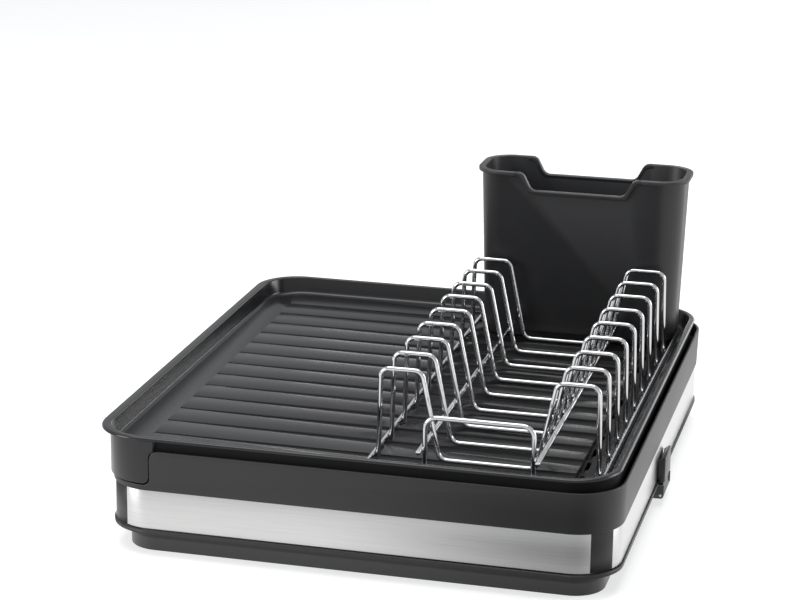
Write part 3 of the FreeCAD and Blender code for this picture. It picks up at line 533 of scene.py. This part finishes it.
apron = slab(x=(-180.2, -60), y=both(207.9), z=(APRON_LOW, 83.3))
choose(apron, "edges", left_corner)
round_off(33, 16)
close(apron)
hollow = slab(x=(-179.3, -50), y=both(205.1), z=(50, 90))
choose(hollow, "edges", left_corner)
round_off(30.2, 16)
carve(apron, close(hollow))
beside = slab(x=(SEAM_X, 0), y=both(220), z=(40, SHOULDER_TOP))
choose(beside, "edges", at(x=SEAM_X, z=SHOULDER_TOP))
round_off(SHOULDER_ROUND, 7)
carve(apron, close(beside))
above = slab(x=(-140.6, 0), y=both(220), z=(74.5, 84.5))
choose(above, "verts", lambda v, m: m.z > 80 * mm and m.x < -100 * mm)
move(3.4, 0, 0)
carve(apron, close(above))
tidy_faces(apron)
bpy.ops.object.mode_set(mode="EDIT")
choose(apron, "edges", at(x=SEAM_X, z=APRON_LOW, slack=0.05))
round_off(HOLLOW_ROUND, 6)
close(apron)
soften(apron, 0.5, 3)
soften(tray, 0.7, 3)
finish_piece(apron, "tray_apron", "tray", [], "tray_plastic")
finish_piece(tray, "tray_moulding", "tray", ["sliding_tray"], "tray_plastic")

# %% [markdown]
# ## The cutlery caddy
# A tall pot with walls that lean out, a lip all round, and a dip in its front and back edge. The
# lip is the widest part, so it comes first, and the body grows down from it. The dip is cut out
# with a block whose upper half is wider, and a separate strip carries the lip on round it.

# %% Model the pot
CADDY_TOP, CADDY_MID = 205.6, 86.2
DIP_LOW_HALF, DIP_TOP_HALF, DIP_SPREAD = 36.9, 43.9, 47.2


def widen(factor):
    """Stretch what is selected along X, about the middle of the caddy."""
    bpy.ops.transform.resize(value=(factor, 1, 1), center_override=(CADDY_MID * mm, 0, 0))


caddy = slab(x=(4.9, 169.8), y=(126.1, 189), z=(202.8, CADDY_TOP), corner=21.9, steps=10)
choose(caddy, "faces", facing(DOWN))
draw_in(width=2.9, rise=-125.1, shrink=3.9)  # the outside
draw_in(width=4.0, rise=-5.4)                # the step at its foot
choose(caddy, "faces", facing(UP, CADDY_TOP))
draw_in(width=5.1, rise=-125.7, shrink=3.9)  # the inside
draw_in(width=4.2, rise=-5.3)
close(caddy)
dip = slab(x=(CADDY_MID - DIP_LOW_HALF, CADDY_MID + DIP_LOW_HALF), y=(100, 210),
           z=(190.7, 204.2))
choose(dip, "verts", lambda v, m: m.z > 200 * mm)
widen(DIP_TOP_HALF / DIP_LOW_HALF)
choose(dip, "faces", facing(UP))
for wider, rise in ((DIP_SPREAD / DIP_TOP_HALF, 0.2), (1, 4)):
    extrude(0, 0, rise)
    widen(wider)
choose(dip, "edges", lambda e, m: abs(m.y - 155 * mm) < mm and m.z < 192 * mm)
round_off(3.5, 5)
carve(caddy, close(dip))
tidy_faces(caddy)
soften(caddy, 0.4, 3)
print("pot", len(caddy.data.polygons), "faces")

# %% [markdown]
# The strip is one short bar. Its ends are extruded up the slopes of the dip and then level, and
# the four bends are rounded. The cut edges of the pot lie hidden inside it.

# %% Model the lip round the dip
STRIP_HALF = 36
for y, side in (((126.1, 131.7), "front"), ((183.4, 189.0), "back")):
    strip = slab(x=(CADDY_MID - STRIP_HALF, CADDY_MID + STRIP_HALF), y=y, z=(189.3, 192.1))
    choose(strip, "verts", lambda v, m: m.z < 190 * mm)
    widen(1 + 1.7 / STRIP_HALF)
    for step_x, step_z in ((7, 13.5), (6, 0)):
        for sign in (-1, 1):
            mesh = bmesh.from_edit_mesh(strip.data)
            outermost = max(sign * face.calc_center_median().x for face in mesh.faces)
            choose(strip, "faces", lambda f, m: abs(sign * m.x - outermost) < TOUCH * mm)
            extrude(sign * step_x, 0, step_z)
    bends = choose(strip, "edges", lambda e, m: abs(m.y / mm - sum(y) / 2) < 0.1
                   and abs(m.x / mm - CADDY_MID) < DIP_SPREAD - 0.2)
    round_off(3.5, 5)
    print("lip strip bends", bends)
    close(strip)
    tidy_faces(strip)
    soften(strip, 0.4, 3)
    finish_piece(strip, f"caddy_lip_{side}", "caddy", [], "caddy_plastic")
finish_piece(caddy, "caddy_pot", "caddy", ["cutlery_caddy"], "caddy_plastic")

# %% [markdown]
# ## The drain spout
# A short chute, folded up against the band. Its open side faces the band, and it turns on a pin
# at its foot, so a round barrel is joined on there.

# %% Model the spout
SPOUT_TOP = 37.2
PIN = (179.8, -3, 9)
spout = slab(x=(177.4, 182.3), y=(-17, 11), z=(9, SPOUT_TOP))
choose(spout, "faces", facing((-1, 0, 0)))
bpy.ops.mesh.inset(thickness=1.8 * mm)
extrude(2.9, 0, 0)
close(spout)
scoop = slab(x=(170, 180.4), y=both(30), z=(SPOUT_TOP, 45))
choose(scoop, "edges", lambda e, m: m.x < 171 * mm and m.z < 38 * mm)
move(7, 0, -3)
carve(spout, close(scoop))
carve(spout, close(slab(x=(181.4, 190), y=both(30), z=(0, 18.5))))
barrel = close(start(bpy.ops.mesh.primitive_cylinder_add, vertices=24, radius=2.4 * mm,
                     depth=28 * mm, location=(0, 0, 0), rotation=(math.radians(90), 0, 0)))
bpy.ops.object.transform_apply(location=True, rotation=True, scale=True)
barrel.data.transform(Matrix.Translation(tuple(v * mm for v in PIN)))
carve(spout, barrel, "UNION")
tidy_faces(spout)
soften(spout, 0.35, 3)
finish_piece(spout, "spout_fold", "spout", ["spout_chute"], "spout_plastic")

# %% [markdown]
# ## The plate rack
# Each wire is one round bar, bent cold. A circle is the bar's section; it is extruded along each
# straight run and spun round each bend, just as the bender's die does it. The nine cross wires
# are alike, so one is made and copied.

# %% Bending a bar


def bent_bar(points, bends, closed=False):
    """A round bar through corner points, with a bend radius at each corner."""
    points = [Vector(p) * mm for p in points]
    if closed:
        middle = (points[0] + points[1]) / 2
        points = [middle] + points[1:] + [points[0], middle]
        bends = [0] + list(bends[1:]) + [bends[0], 0]
    run = (points[1] - points[0]).normalized()
    bar = close(start(bpy.ops.mesh.primitive_circle_add, vertices=14, radius=WIRE * mm,
                      fill_type="NGON", rotation=run.to_track_quat("Z", "Y").to_euler()))
    bpy.ops.object.transform_apply(location=True, rotation=True, scale=True)
    bar.data.transform(Matrix.Translation(points[0]))
    bpy.ops.object.mode_set(mode="EDIT")
    bpy.ops.mesh.select_all(action="SELECT")
    here = points[0]
    for k in range(1, len(points)):
        run = (points[k] - points[k - 1]).normalized()
        last = k == len(points) - 1
        turn = 0 if last else run.angle((points[k + 1] - points[k]).normalized())
        reach = 0 if last or not bends[k] else bends[k] * mm * math.tan(turn / 2)
        there = points[k] - run * reach
        bpy.ops.mesh.extrude_region_move(
            TRANSFORM_OT_translate={"value": tuple(there - here)})
        here = there
        if reach:
            after = (points[k + 1] - points[k]).normalized()
            axis = run.cross(after).normalized()
            centre = there + axis.cross(run) * bends[k] * mm
            bpy.ops.mesh.spin(steps=6, angle=turn, center=centre, axis=-axis)
            here = points[k] + after * reach
    mesh = bmesh.from_edit_mesh(bar.data)
    ring = [v.co.copy() for v in mesh.verts if v.select]
    tip = sum(ring, Vector()) / max(1, len(ring))
    if (tip - here).length > 0.05 * mm:
        raise RuntimeError(f"the bar ends at {tip} and not at {here}")
    bpy.ops.mesh.select_all(action="SELECT")
    bpy.ops.mesh.remove_doubles(threshold=0.005 * mm)
    bpy.ops.mesh.normals_make_consistent(inside=False)
    return close(bar)


def copy_of(piece, name, shift):
    """A copy with a mesh of its own, moved by a step."""
    twin = piece.copy()
    twin.data = piece.data.copy()
    bpy.context.collection.objects.link(twin)
    twin.name = name
    twin.data.transform(Matrix.Translation(Vector(shift) * mm))
    return twin


print("a bar is", 2 * WIRE, "mm thick")

# %% Bend the nine cross wires
RACK_MID, WIRES, WIRE_STEP, FIRST_WIRE_Y = 82, 9, 36.1, -164
left = [(-75.7, 72.35), (-74.2, 135.5), (-46.2, 135.5), (-33.2, 74.0)]
path = [(RACK_MID + x, FIRST_WIRE_Y, z) for x, z in left]
path += [(RACK_MID - x, FIRST_WIRE_Y, z) for x, z in reversed(left)]
first_wire = bent_bar(path, [0, 6, 6, 7, 7, 6, 6, 0])
soften(first_wire, 0.35, 2, 60)
wires = [first_wire] + [copy_of(first_wire, f"wire_{k}", (0, WIRE_STEP * (k - 1), 0))
                        for k in range(2, WIRES + 1)]
for k, wire in enumerate(wires, start=1):
    finish_piece(wire, f"cross_bar_{k}", "rack", [f"plate_wire_{k}"], "wire_chrome")

# %% Rails, hoop and base wire
RAIL_OFF, RAIL_Y, RAIL_HIGH = 40.17, (-197, 129.8), 89.8
HOOP_OFF, HOOP_Y, HOOP_FOOT, HOOP_TOP = 36.72, -192, 72.3, 113.5
FRAME_OFF, FRAME_Y, FRAME_HIGH = 79.15, (-188.55, 187.5), 74
rails = {side: [(RACK_MID + off, y, RAIL_HIGH) for y in RAIL_Y]
         for side, off in (("left", -RAIL_OFF), ("right", RAIL_OFF))}
hoop = [(RACK_MID - HOOP_OFF, HOOP_Y, HOOP_FOOT), (RACK_MID - HOOP_OFF, HOOP_Y, HOOP_TOP),
        (RACK_MID + HOOP_OFF, HOOP_Y, HOOP_TOP), (RACK_MID + HOOP_OFF, HOOP_Y, HOOP_FOOT)]
ring = [(RACK_MID - FRAME_OFF, FRAME_Y[0], FRAME_HIGH),
        (RACK_MID + FRAME_OFF, FRAME_Y[0], FRAME_HIGH),
        (RACK_MID + FRAME_OFF, FRAME_Y[1], FRAME_HIGH),
        (RACK_MID - FRAME_OFF, FRAME_Y[1], FRAME_HIGH)]
bars = {"rack_rail_left": bent_bar(rails["left"], [0, 0]),
        "rack_rail_right": bent_bar(rails["right"], [0, 0]),
        "rack_front_hoop": bent_bar(hoop, [0, 8, 8, 0]),
        "rack_base_frame": bent_bar(ring, [12, 12, 12, 12], closed=True)}
for node, bar in bars.items():
    soften(bar, 0.35, 2, 60)
    finish_piece(bar, node.replace("rack_", "bar_"), "rack", [node], "wire_chrome")

# %% [markdown]
# ## Finishes
# Plastic that comes out of an etched mould is never one flat tone: it has a fine grain, and its
# gloss drifts a little. Brushed steel has hair lines along the strip, and drawn wire has a faint
# ripple under its chrome. The two small classes below let shader maths read like Python.

# %% Classes for shader maths


class Value:
    """A number that a shader works out, with Python's own operators."""

    def __init__(self, finish, socket):
        self.finish = finish
        self.socket = socket

    def maths(self, operation, other):
        node = self.finish.node("ShaderNodeMath", {"operation": operation}, {0: self, 1: other})
        return Value(self.finish, node.outputs[0])

    def __add__(self, other):
        return self.maths("ADD", other)

    def __mul__(self, other):
        return self.maths("MULTIPLY", other)

    __radd__ = __add__
    __rmul__ = __mul__

    def __gt__(self, other):
        return self.maths("GREATER_THAN", other)

    def __lt__(self, other):
        return self.maths("LESS_THAN", other)

    def or_more(self, other):
        return self.maths("MAXIMUM", other)


class Finish:
    """One material, built node by node."""

    def __init__(self, name, colour, roughness, metallic=0.0):
        self.material = bpy.data.materials.new(name)
        self.material.use_nodes = True
        self.tree = self.material.node_tree
        self.shader = self.tree.nodes["Principled BSDF"]
        self.shader.inputs["Base Color"].default_value = (*colour, 1)
        self.shader.inputs["Roughness"].default_value = roughness
        self.shader.inputs["Metallic"].default_value = metallic
        self.place = self.node("ShaderNodeTexCoord", {}, {}).outputs["Object"]

    def node(self, kind, settings, values):
        """Add a node, set its settings, then fill or link its sockets."""
        node = self.tree.nodes.new(kind)
        for name, value in settings.items():
            setattr(node, name, value)
        for name, value in values.items():
            self.fill(node.inputs[name], value)
        return node

    def fill(self, socket, value):
        """Link a socket to a value, or set it."""
        if isinstance(value, Value):
            value = value.socket
        if isinstance(value, bpy.types.NodeSocket):
            self.tree.links.new(value, socket)
        else:
            socket.default_value = value

    def coordinate(self, axis):
        """The place along X, Y or Z, in metres."""
        split = self.node("ShaderNodeSeparateXYZ", {}, {0: self.place})
        return Value(self, split.outputs[axis])

    def vector(self, operation, first, second=(0, 0, 0)):
        """One step of vector maths."""
        node = self.node("ShaderNodeVectorMath", {"operation": operation}, {0: first, 1: second})
        if operation in ("LENGTH", "DISTANCE"):
            return Value(self, node.outputs["Value"])
        return node.outputs["Vector"]

    def fade(self, value, low, high, at_low, at_high):
        """A value that goes smoothly from one number to another between two limits."""
        node = self.node("ShaderNodeMapRange", {"interpolation_type": "SMOOTHSTEP"},
                         {0: value, 1: low, 2: high, 3: at_low, 4: at_high})
        return Value(self, node.outputs[0])

    def noise(self, scale, detail, stretch=(1, 1, 1)):
        """Noise over the piece's own coordinates, with a number of features per metre."""
        place = self.node("ShaderNodeMapping", {}, {"Vector": self.place, "Scale": stretch})
        noise = self.node("ShaderNodeTexNoise", {},
                          {"Vector": place.outputs[0], "Scale": scale, "Detail": detail})
        return Value(self, noise.outputs[0])

    def tone(self, mask, dark, light):
        """Let a mask blend two colours into the base colour."""
        blend = self.node("ShaderNodeMix", {"data_type": "RGBA"},
                          {0: mask, 6: (*dark, 1), 7: (*light, 1)})
        self.fill(self.shader.inputs["Base Color"], blend.outputs[2])

    def roughness(self, value):
        """Let a value drive the roughness."""
        self.fill(self.shader.inputs["Roughness"], value)

    def relief(self, height, depth, strength=1.0):
        """Bump from a height value, with a depth in millimetres."""
        bump = self.node("ShaderNodeBump", {},
                         {"Height": height, "Distance": depth * mm, "Strength": strength})
        self.fill(self.shader.inputs["Normal"], bump.outputs[0])


finishes = {}
print("shader helpers ready")

# %% [markdown]
# The black mouldings are etched with a fine grain. A broad, weak noise drifts the gloss, as a
# hand's touch and drying water do, and a fine noise is the grain. The lowest part of the base's
# foot is painted paler. This is a painted reflection of the pale floor, set against the shade
# under the lip.

# %% Etched plastics and rubber
BROAD, GRAIN = 14, 2600
REFLECTION_TOP, REFLECTION_FADE = 10.0, 8.5


def moulded(name, dark, light, roughness, drift, grain):
    """Black plastic with an etched grain and a gloss that drifts."""
    finish = Finish(name, dark, roughness)
    broad, fine = finish.noise(BROAD, 3), finish.noise(GRAIN, 2)
    finish.tone(broad * 0.7 + fine * 0.3, dark, light)
    finish.roughness(broad * drift + (roughness - drift / 2))
    finish.relief(fine, grain)
    return finish.material


base = Finish("satin_black_moulding", (0.018, 0.018, 0.019), 0.42)
# Painted reflection of the pale floor: the base colour turns paler towards the bottom of the foot.
painted_floor_reflection = base.fade(base.coordinate(2), REFLECTION_FADE * mm, REFLECTION_TOP * mm, 1.0, 0.0)
broad, fine = base.noise(BROAD, 3), base.noise(GRAIN, 2)
base.tone(painted_floor_reflection + (broad * 0.7 + fine * 0.3) * 0.15, (0.012, 0.012, 0.013), (0.07, 0.07, 0.072))
base.roughness(broad * 0.08 + 0.38)
base.relief(fine, 0.02)
finishes["black_plastic"] = base.material

for slot, recipe in {
    "caddy_plastic": ("grey_black_moulding", (0.014, 0.014, 0.015), (0.022, 0.022, 0.024),
                      0.44, 0.08, 0.02),
    "spout_plastic": ("spout_black_moulding", (0.010, 0.010, 0.011), (0.017, 0.017, 0.018),
                      0.36, 0.08, 0.015),
    "runner_plastic": ("runner_grey_moulding", (0.055, 0.055, 0.058), (0.08, 0.08, 0.083),
                       0.5, 0.08, 0.03),
    "pad_rubber": ("foot_rubber", (0.02, 0.02, 0.02), (0.035, 0.034, 0.033), 0.72, 0.1, 0.05),
}.items():
    finishes[slot] = moulded(*recipe)
print("etched finishes", list(finishes))

# %% [markdown]
# The tray comes from a polished mould. The sides of its channels and the wall under its rim are
# made matte and painted near black, as painted shade for the recesses of the channels and the
# gap under the rim. A mask finds them: what lies below the planks, and what lies outside a smaller
# copy of the rim's outline and below the rim. The distance to that outline is the usual one for a
# rounded rectangle. The apron is left out, because it is polished like the rim.

# %% The polished tray
SHADED_BELOW, SHADED_UNDER_RIM, SHADED_INSET = 71.6, 83.4, 4.2
rim_mid = (RIM_X[0] + RIM_X[1]) / 2
straight_x = (RIM_X[1] - RIM_X[0]) / 2 - RIM_CORNER
straight_y = RIM_Y[1] - RIM_CORNER
polished = Finish("polished_black_moulding", (0.012, 0.012, 0.013), 0.24)
height = polished.coordinate(2)
centred = polished.vector("SUBTRACT", polished.place, ((OVER + rim_mid) * mm, 0, 0))
past = polished.vector("SUBTRACT", polished.vector("ABSOLUTE", centred),
                       (straight_x * mm, straight_y * mm, 10))
reach = polished.vector("LENGTH", polished.vector("MAXIMUM", past))
under_rim = (reach > (RIM_CORNER - SHADED_INSET) * mm) * (height < SHADED_UNDER_RIM * mm)
beside_apron = polished.coordinate(0) > (OVER - 140) * mm
shade_and_matte = (height < SHADED_BELOW * mm).or_more(under_rim) * beside_apron
broad, shine = polished.noise(BROAD, 3), polished.noise(GRAIN, 2)
# Painted shade: the base colour is darker in the channels and under the rim.
polished.tone(shade_and_matte, (0.012, 0.012, 0.013), (0.0025, 0.0025, 0.0025))
polished.roughness(broad * 0.06 + shade_and_matte * 0.6 + 0.19)
polished.relief(shine, 0.001)
finishes["tray_plastic"] = polished.material
print("raw skin more than", SHADED_INSET, "mm inside the rim's outline and below", SHADED_UNDER_RIM)

# %% [markdown]
# The band's hair lines run level round the rack, so the noise is drawn out along X and Y and
# squeezed in Z. Two widths of line, a fine and a coarse one, keep it from looking like a barcode.

# %% Steel and chrome
steel = Finish("brushed_steel_sheet", (0.60, 0.60, 0.597), 0.30, 1.0)
hair, streak = steel.noise(1, 4, (40, 40, 9000)), steel.noise(1, 3, (12, 12, 1800))
lines = hair * 0.65 + streak * 0.35
steel.tone(lines, (0.46, 0.46, 0.457), (0.78, 0.78, 0.776))
steel.roughness(lines * 0.16 + 0.22)
steel.relief(lines, 0.01, 0.5)
steel.shader.inputs["Anisotropic"].default_value = 0.8
steel.shader.inputs["Anisotropic Rotation"].default_value = 0.25
finishes["brushed_band"] = steel.material

chrome = Finish("polished_chrome_wire", (0.83, 0.83, 0.84), 0.07, 1.0)
ripple = chrome.noise(320, 3)
chrome.tone(ripple, (0.62, 0.62, 0.63), (0.70, 0.70, 0.71))
chrome.roughness(ripple * 0.06 + 0.05)
chrome.relief(ripple, 0.03, 0.08)
finishes["wire_chrome"] = chrome.material

zinc = Finish("zinc_plated_steel", (0.55, 0.56, 0.57), 0.36, 1.0)
bloom = zinc.noise(260, 4)
zinc.tone(bloom, (0.46, 0.47, 0.48), (0.64, 0.65, 0.66))
zinc.roughness(bloom * 0.2 + 0.28)
zinc.relief(bloom, 0.02)
finishes["rail_steel"] = finishes["screw_steel"] = zinc.material
print("all finishes", sorted(finishes))

# %% [markdown]
# Every piece made above wears the finish of its slot. The engineering nodes that stay, such as
# the rails and the pads, get theirs in the same way, from the slots in the record.

# %% Put the finishes on
slots = {part["node"]: part["material_slot"] for part in frame["record"]["subparts"]}
for piece in bpy.data.objects:
    if piece.type != "MESH":
        continue
    if piece.name in worn:
        piece.data.materials.clear()
        piece.data.materials.append(finishes[worn[piece.name]])
    elif piece.name in slots and piece.name in frame["nodes"]:
        for place in piece.material_slots:
            place.material = finishes[slots[piece.name]]
        if not piece.material_slots:
            piece.data.materials.append(finishes[slots[piece.name]])
print("pieces made here", len(worn))

# %% [markdown]
# ## Studio
# A pale floor, a big soft lamp above, a key lamp at the front left and a weaker one at the right.
# A white card stands behind the rack to the right, and the far edges of the tray mirror it.
# The background is white for the camera, while the lamps stay at a plain level. Metal shows its
# surroundings: in reflections the floor is white too, except for a painted grey patch in front of
# the right corner that only gloss sees. It is a painted reflection of a studio's camera and stand,
# and it turns the right half of the band grey.

# %% Floor
PATCH_MIDDLE, PATCH_CORE, PATCH_EDGE = (0.18, -0.37, 0), 0.05, 0.26
floor = start(bpy.ops.mesh.primitive_plane_add, size=8)
bpy.ops.mesh.subdivide(number_cuts=3)
close(floor)
floor.name = "studio_floor"
pale = Finish("studio_floor_paint", (0.66, 0.66, 0.66), 0.9)
rays = pale.node("ShaderNodeLightPath", {}, {})
glow = pale.node("ShaderNodeEmission", {},
                 {"Strength": Value(pale, rays.outputs["Is Camera Ray"]) * 0.6})
lit = pale.node("ShaderNodeAddShader", {}, {0: pale.shader.outputs[0], 1: glow.outputs[0]})
# Painted reflection: for glossy rays the floor glows dimmer round this point.
spot = pale.vector("DISTANCE", pale.place, PATCH_MIDDLE)
painted_reflection_glow = pale.node("ShaderNodeEmission", {},
                     {"Strength": pale.fade(spot, PATCH_CORE, PATCH_EDGE, 0.08, 1.15)})
surface = pale.node("ShaderNodeMixShader", {}, {0: rays.outputs["Is Glossy Ray"],
                                                1: lit.outputs[0], 2: painted_reflection_glow.outputs[0]})
pale.fill(pale.tree.nodes["Material Output"].inputs["Surface"], surface.outputs[0])
floor.data.materials.append(pale.material)
print("floor", tuple(round(v, 2) for v in floor.dimensions))

# %% White card
card = start(bpy.ops.mesh.primitive_plane_add, size=1)
bpy.ops.transform.resize(value=(2, 0.36, 1))
bpy.ops.transform.rotate(value=math.radians(90), orient_axis="X", center_override=(0, 0, 0))
bpy.ops.transform.translate(value=(0.6, 1.7, 0.18))
close(card)
card.name = "studio_card"
white = Finish("studio_card_paper", (0.9, 0.9, 0.9), 0.9)
white.shader.inputs["Emission Color"].default_value = (1, 1, 1, 1)
white.shader.inputs["Emission Strength"].default_value = 1.8
card.data.materials.append(white.material)
print("card", tuple(round(v, 2) for v in card.dimensions))

# %% [markdown]
# The world is a dim, cool sky for everything that it lights, and plain white where the camera or
# clear material looks at it. Gloss sees a part of that white.

# %% World
IN_GLOSS = 0.4
world = bpy.data.worlds.new("studio")
bpy.context.scene.world = world
world.use_nodes = True
sky = world.node_tree.nodes
links = world.node_tree.links
dim, bright = sky["Background"], sky.new("ShaderNodeBackground")
for background, colour, strength in ((dim, (0.9, 0.95, 1.0, 1), 0.35),
                                     (bright, (1, 1, 1, 1), 1.0)):
    background.inputs["Color"].default_value = colour
    background.inputs["Strength"].default_value = strength


def sky_maths(operation, first, second):
    """One maths node of the world; an input is an output socket or a number."""
    node = sky.new("ShaderNodeMath")
    node.operation = operation
    for socket, value in zip(node.inputs, (first, second)):
        if isinstance(value, float):
            socket.default_value = value
        else:
            links.new(value, socket)
    return node.outputs[0]


ray = sky.new("ShaderNodeLightPath").outputs
mix = sky.new("ShaderNodeMixShader")
seen = sky_maths("MAXIMUM", ray["Is Camera Ray"], ray["Is Transmission Ray"])
in_gloss = sky_maths("MULTIPLY", ray["Is Glossy Ray"], IN_GLOSS)
links.new(sky_maths("MAXIMUM", seen, in_gloss), mix.inputs[0])
links.new(dim.outputs[0], mix.inputs[1])
links.new(bright.outputs[0], mix.inputs[2])
links.new(mix.outputs[0], sky["World Output"].inputs[0])
print("world ready, white in gloss", IN_GLOSS)

# %% Lamps


def soft_lamp(name, place, size, power):
    """A soft lamp turned to the middle of the rack; metres and watts."""
    data = bpy.data.lights.new(name, "AREA")
    data.shape = "RECTANGLE"
    data.size, data.size_y = size
    data.energy = power
    lamp = bpy.data.objects.new(name, data)
    bpy.context.collection.objects.link(lamp)
    lamp.location = place
    look = Vector((0, 0, 0.05)) - Vector(place)
    lamp.rotation_euler = look.to_track_quat("-Z", "Y").to_euler()


soft_lamp("top", (-0.1, 0.0, 1.7), (1.7, 1.5), 24)
soft_lamp("key", (-1.5, -1.2, 0.7), (0.8, 0.8), 16)
soft_lamp("side", (1.6, 0.6, 0.5), (0.8, 0.8), 10)

# %% [markdown]
# ## Camera
# The lens and the place come from fitting the straight edges of the rack in the photograph. The
# camera looks down from the front right, and is turned a little about its own line of sight.

# %% Camera, as the photograph was taken
FOCAL_PIXELS, FRAME_PIXELS, SENSOR = 2441.571, 800, 36
PLACE = (0.4004, -1.6726, 0.6409)
turn, tilt, roll = math.radians(14.073), math.radians(16.374), math.radians(0.7)
back = Vector((math.sin(turn) * math.cos(tilt), -math.cos(turn) * math.cos(tilt),
               math.sin(tilt)))
right = (-back).cross(Vector(UP)).normalized()
up = right.cross(-back)
rolled_right = right * math.cos(roll) + up * math.sin(roll)
rolled_up = up * math.cos(roll) - right * math.sin(roll)
lens = bpy.data.cameras.new("camera")
lens.sensor_width = SENSOR
lens.lens = FOCAL_PIXELS / FRAME_PIXELS * SENSOR
lens.clip_end = 20
camera = bpy.data.objects.new("camera", lens)
bpy.context.collection.objects.link(camera)
camera.matrix_world = Matrix.Translation(PLACE) @ Matrix(
    (rolled_right, rolled_up, back)).transposed().to_4x4()
bpy.context.scene.camera = camera
bpy.context.scene.view_settings.view_transform = "Standard"
print("camera", [round(v, 3) for v in camera.location], "lens", round(lens.lens, 1), "mm")
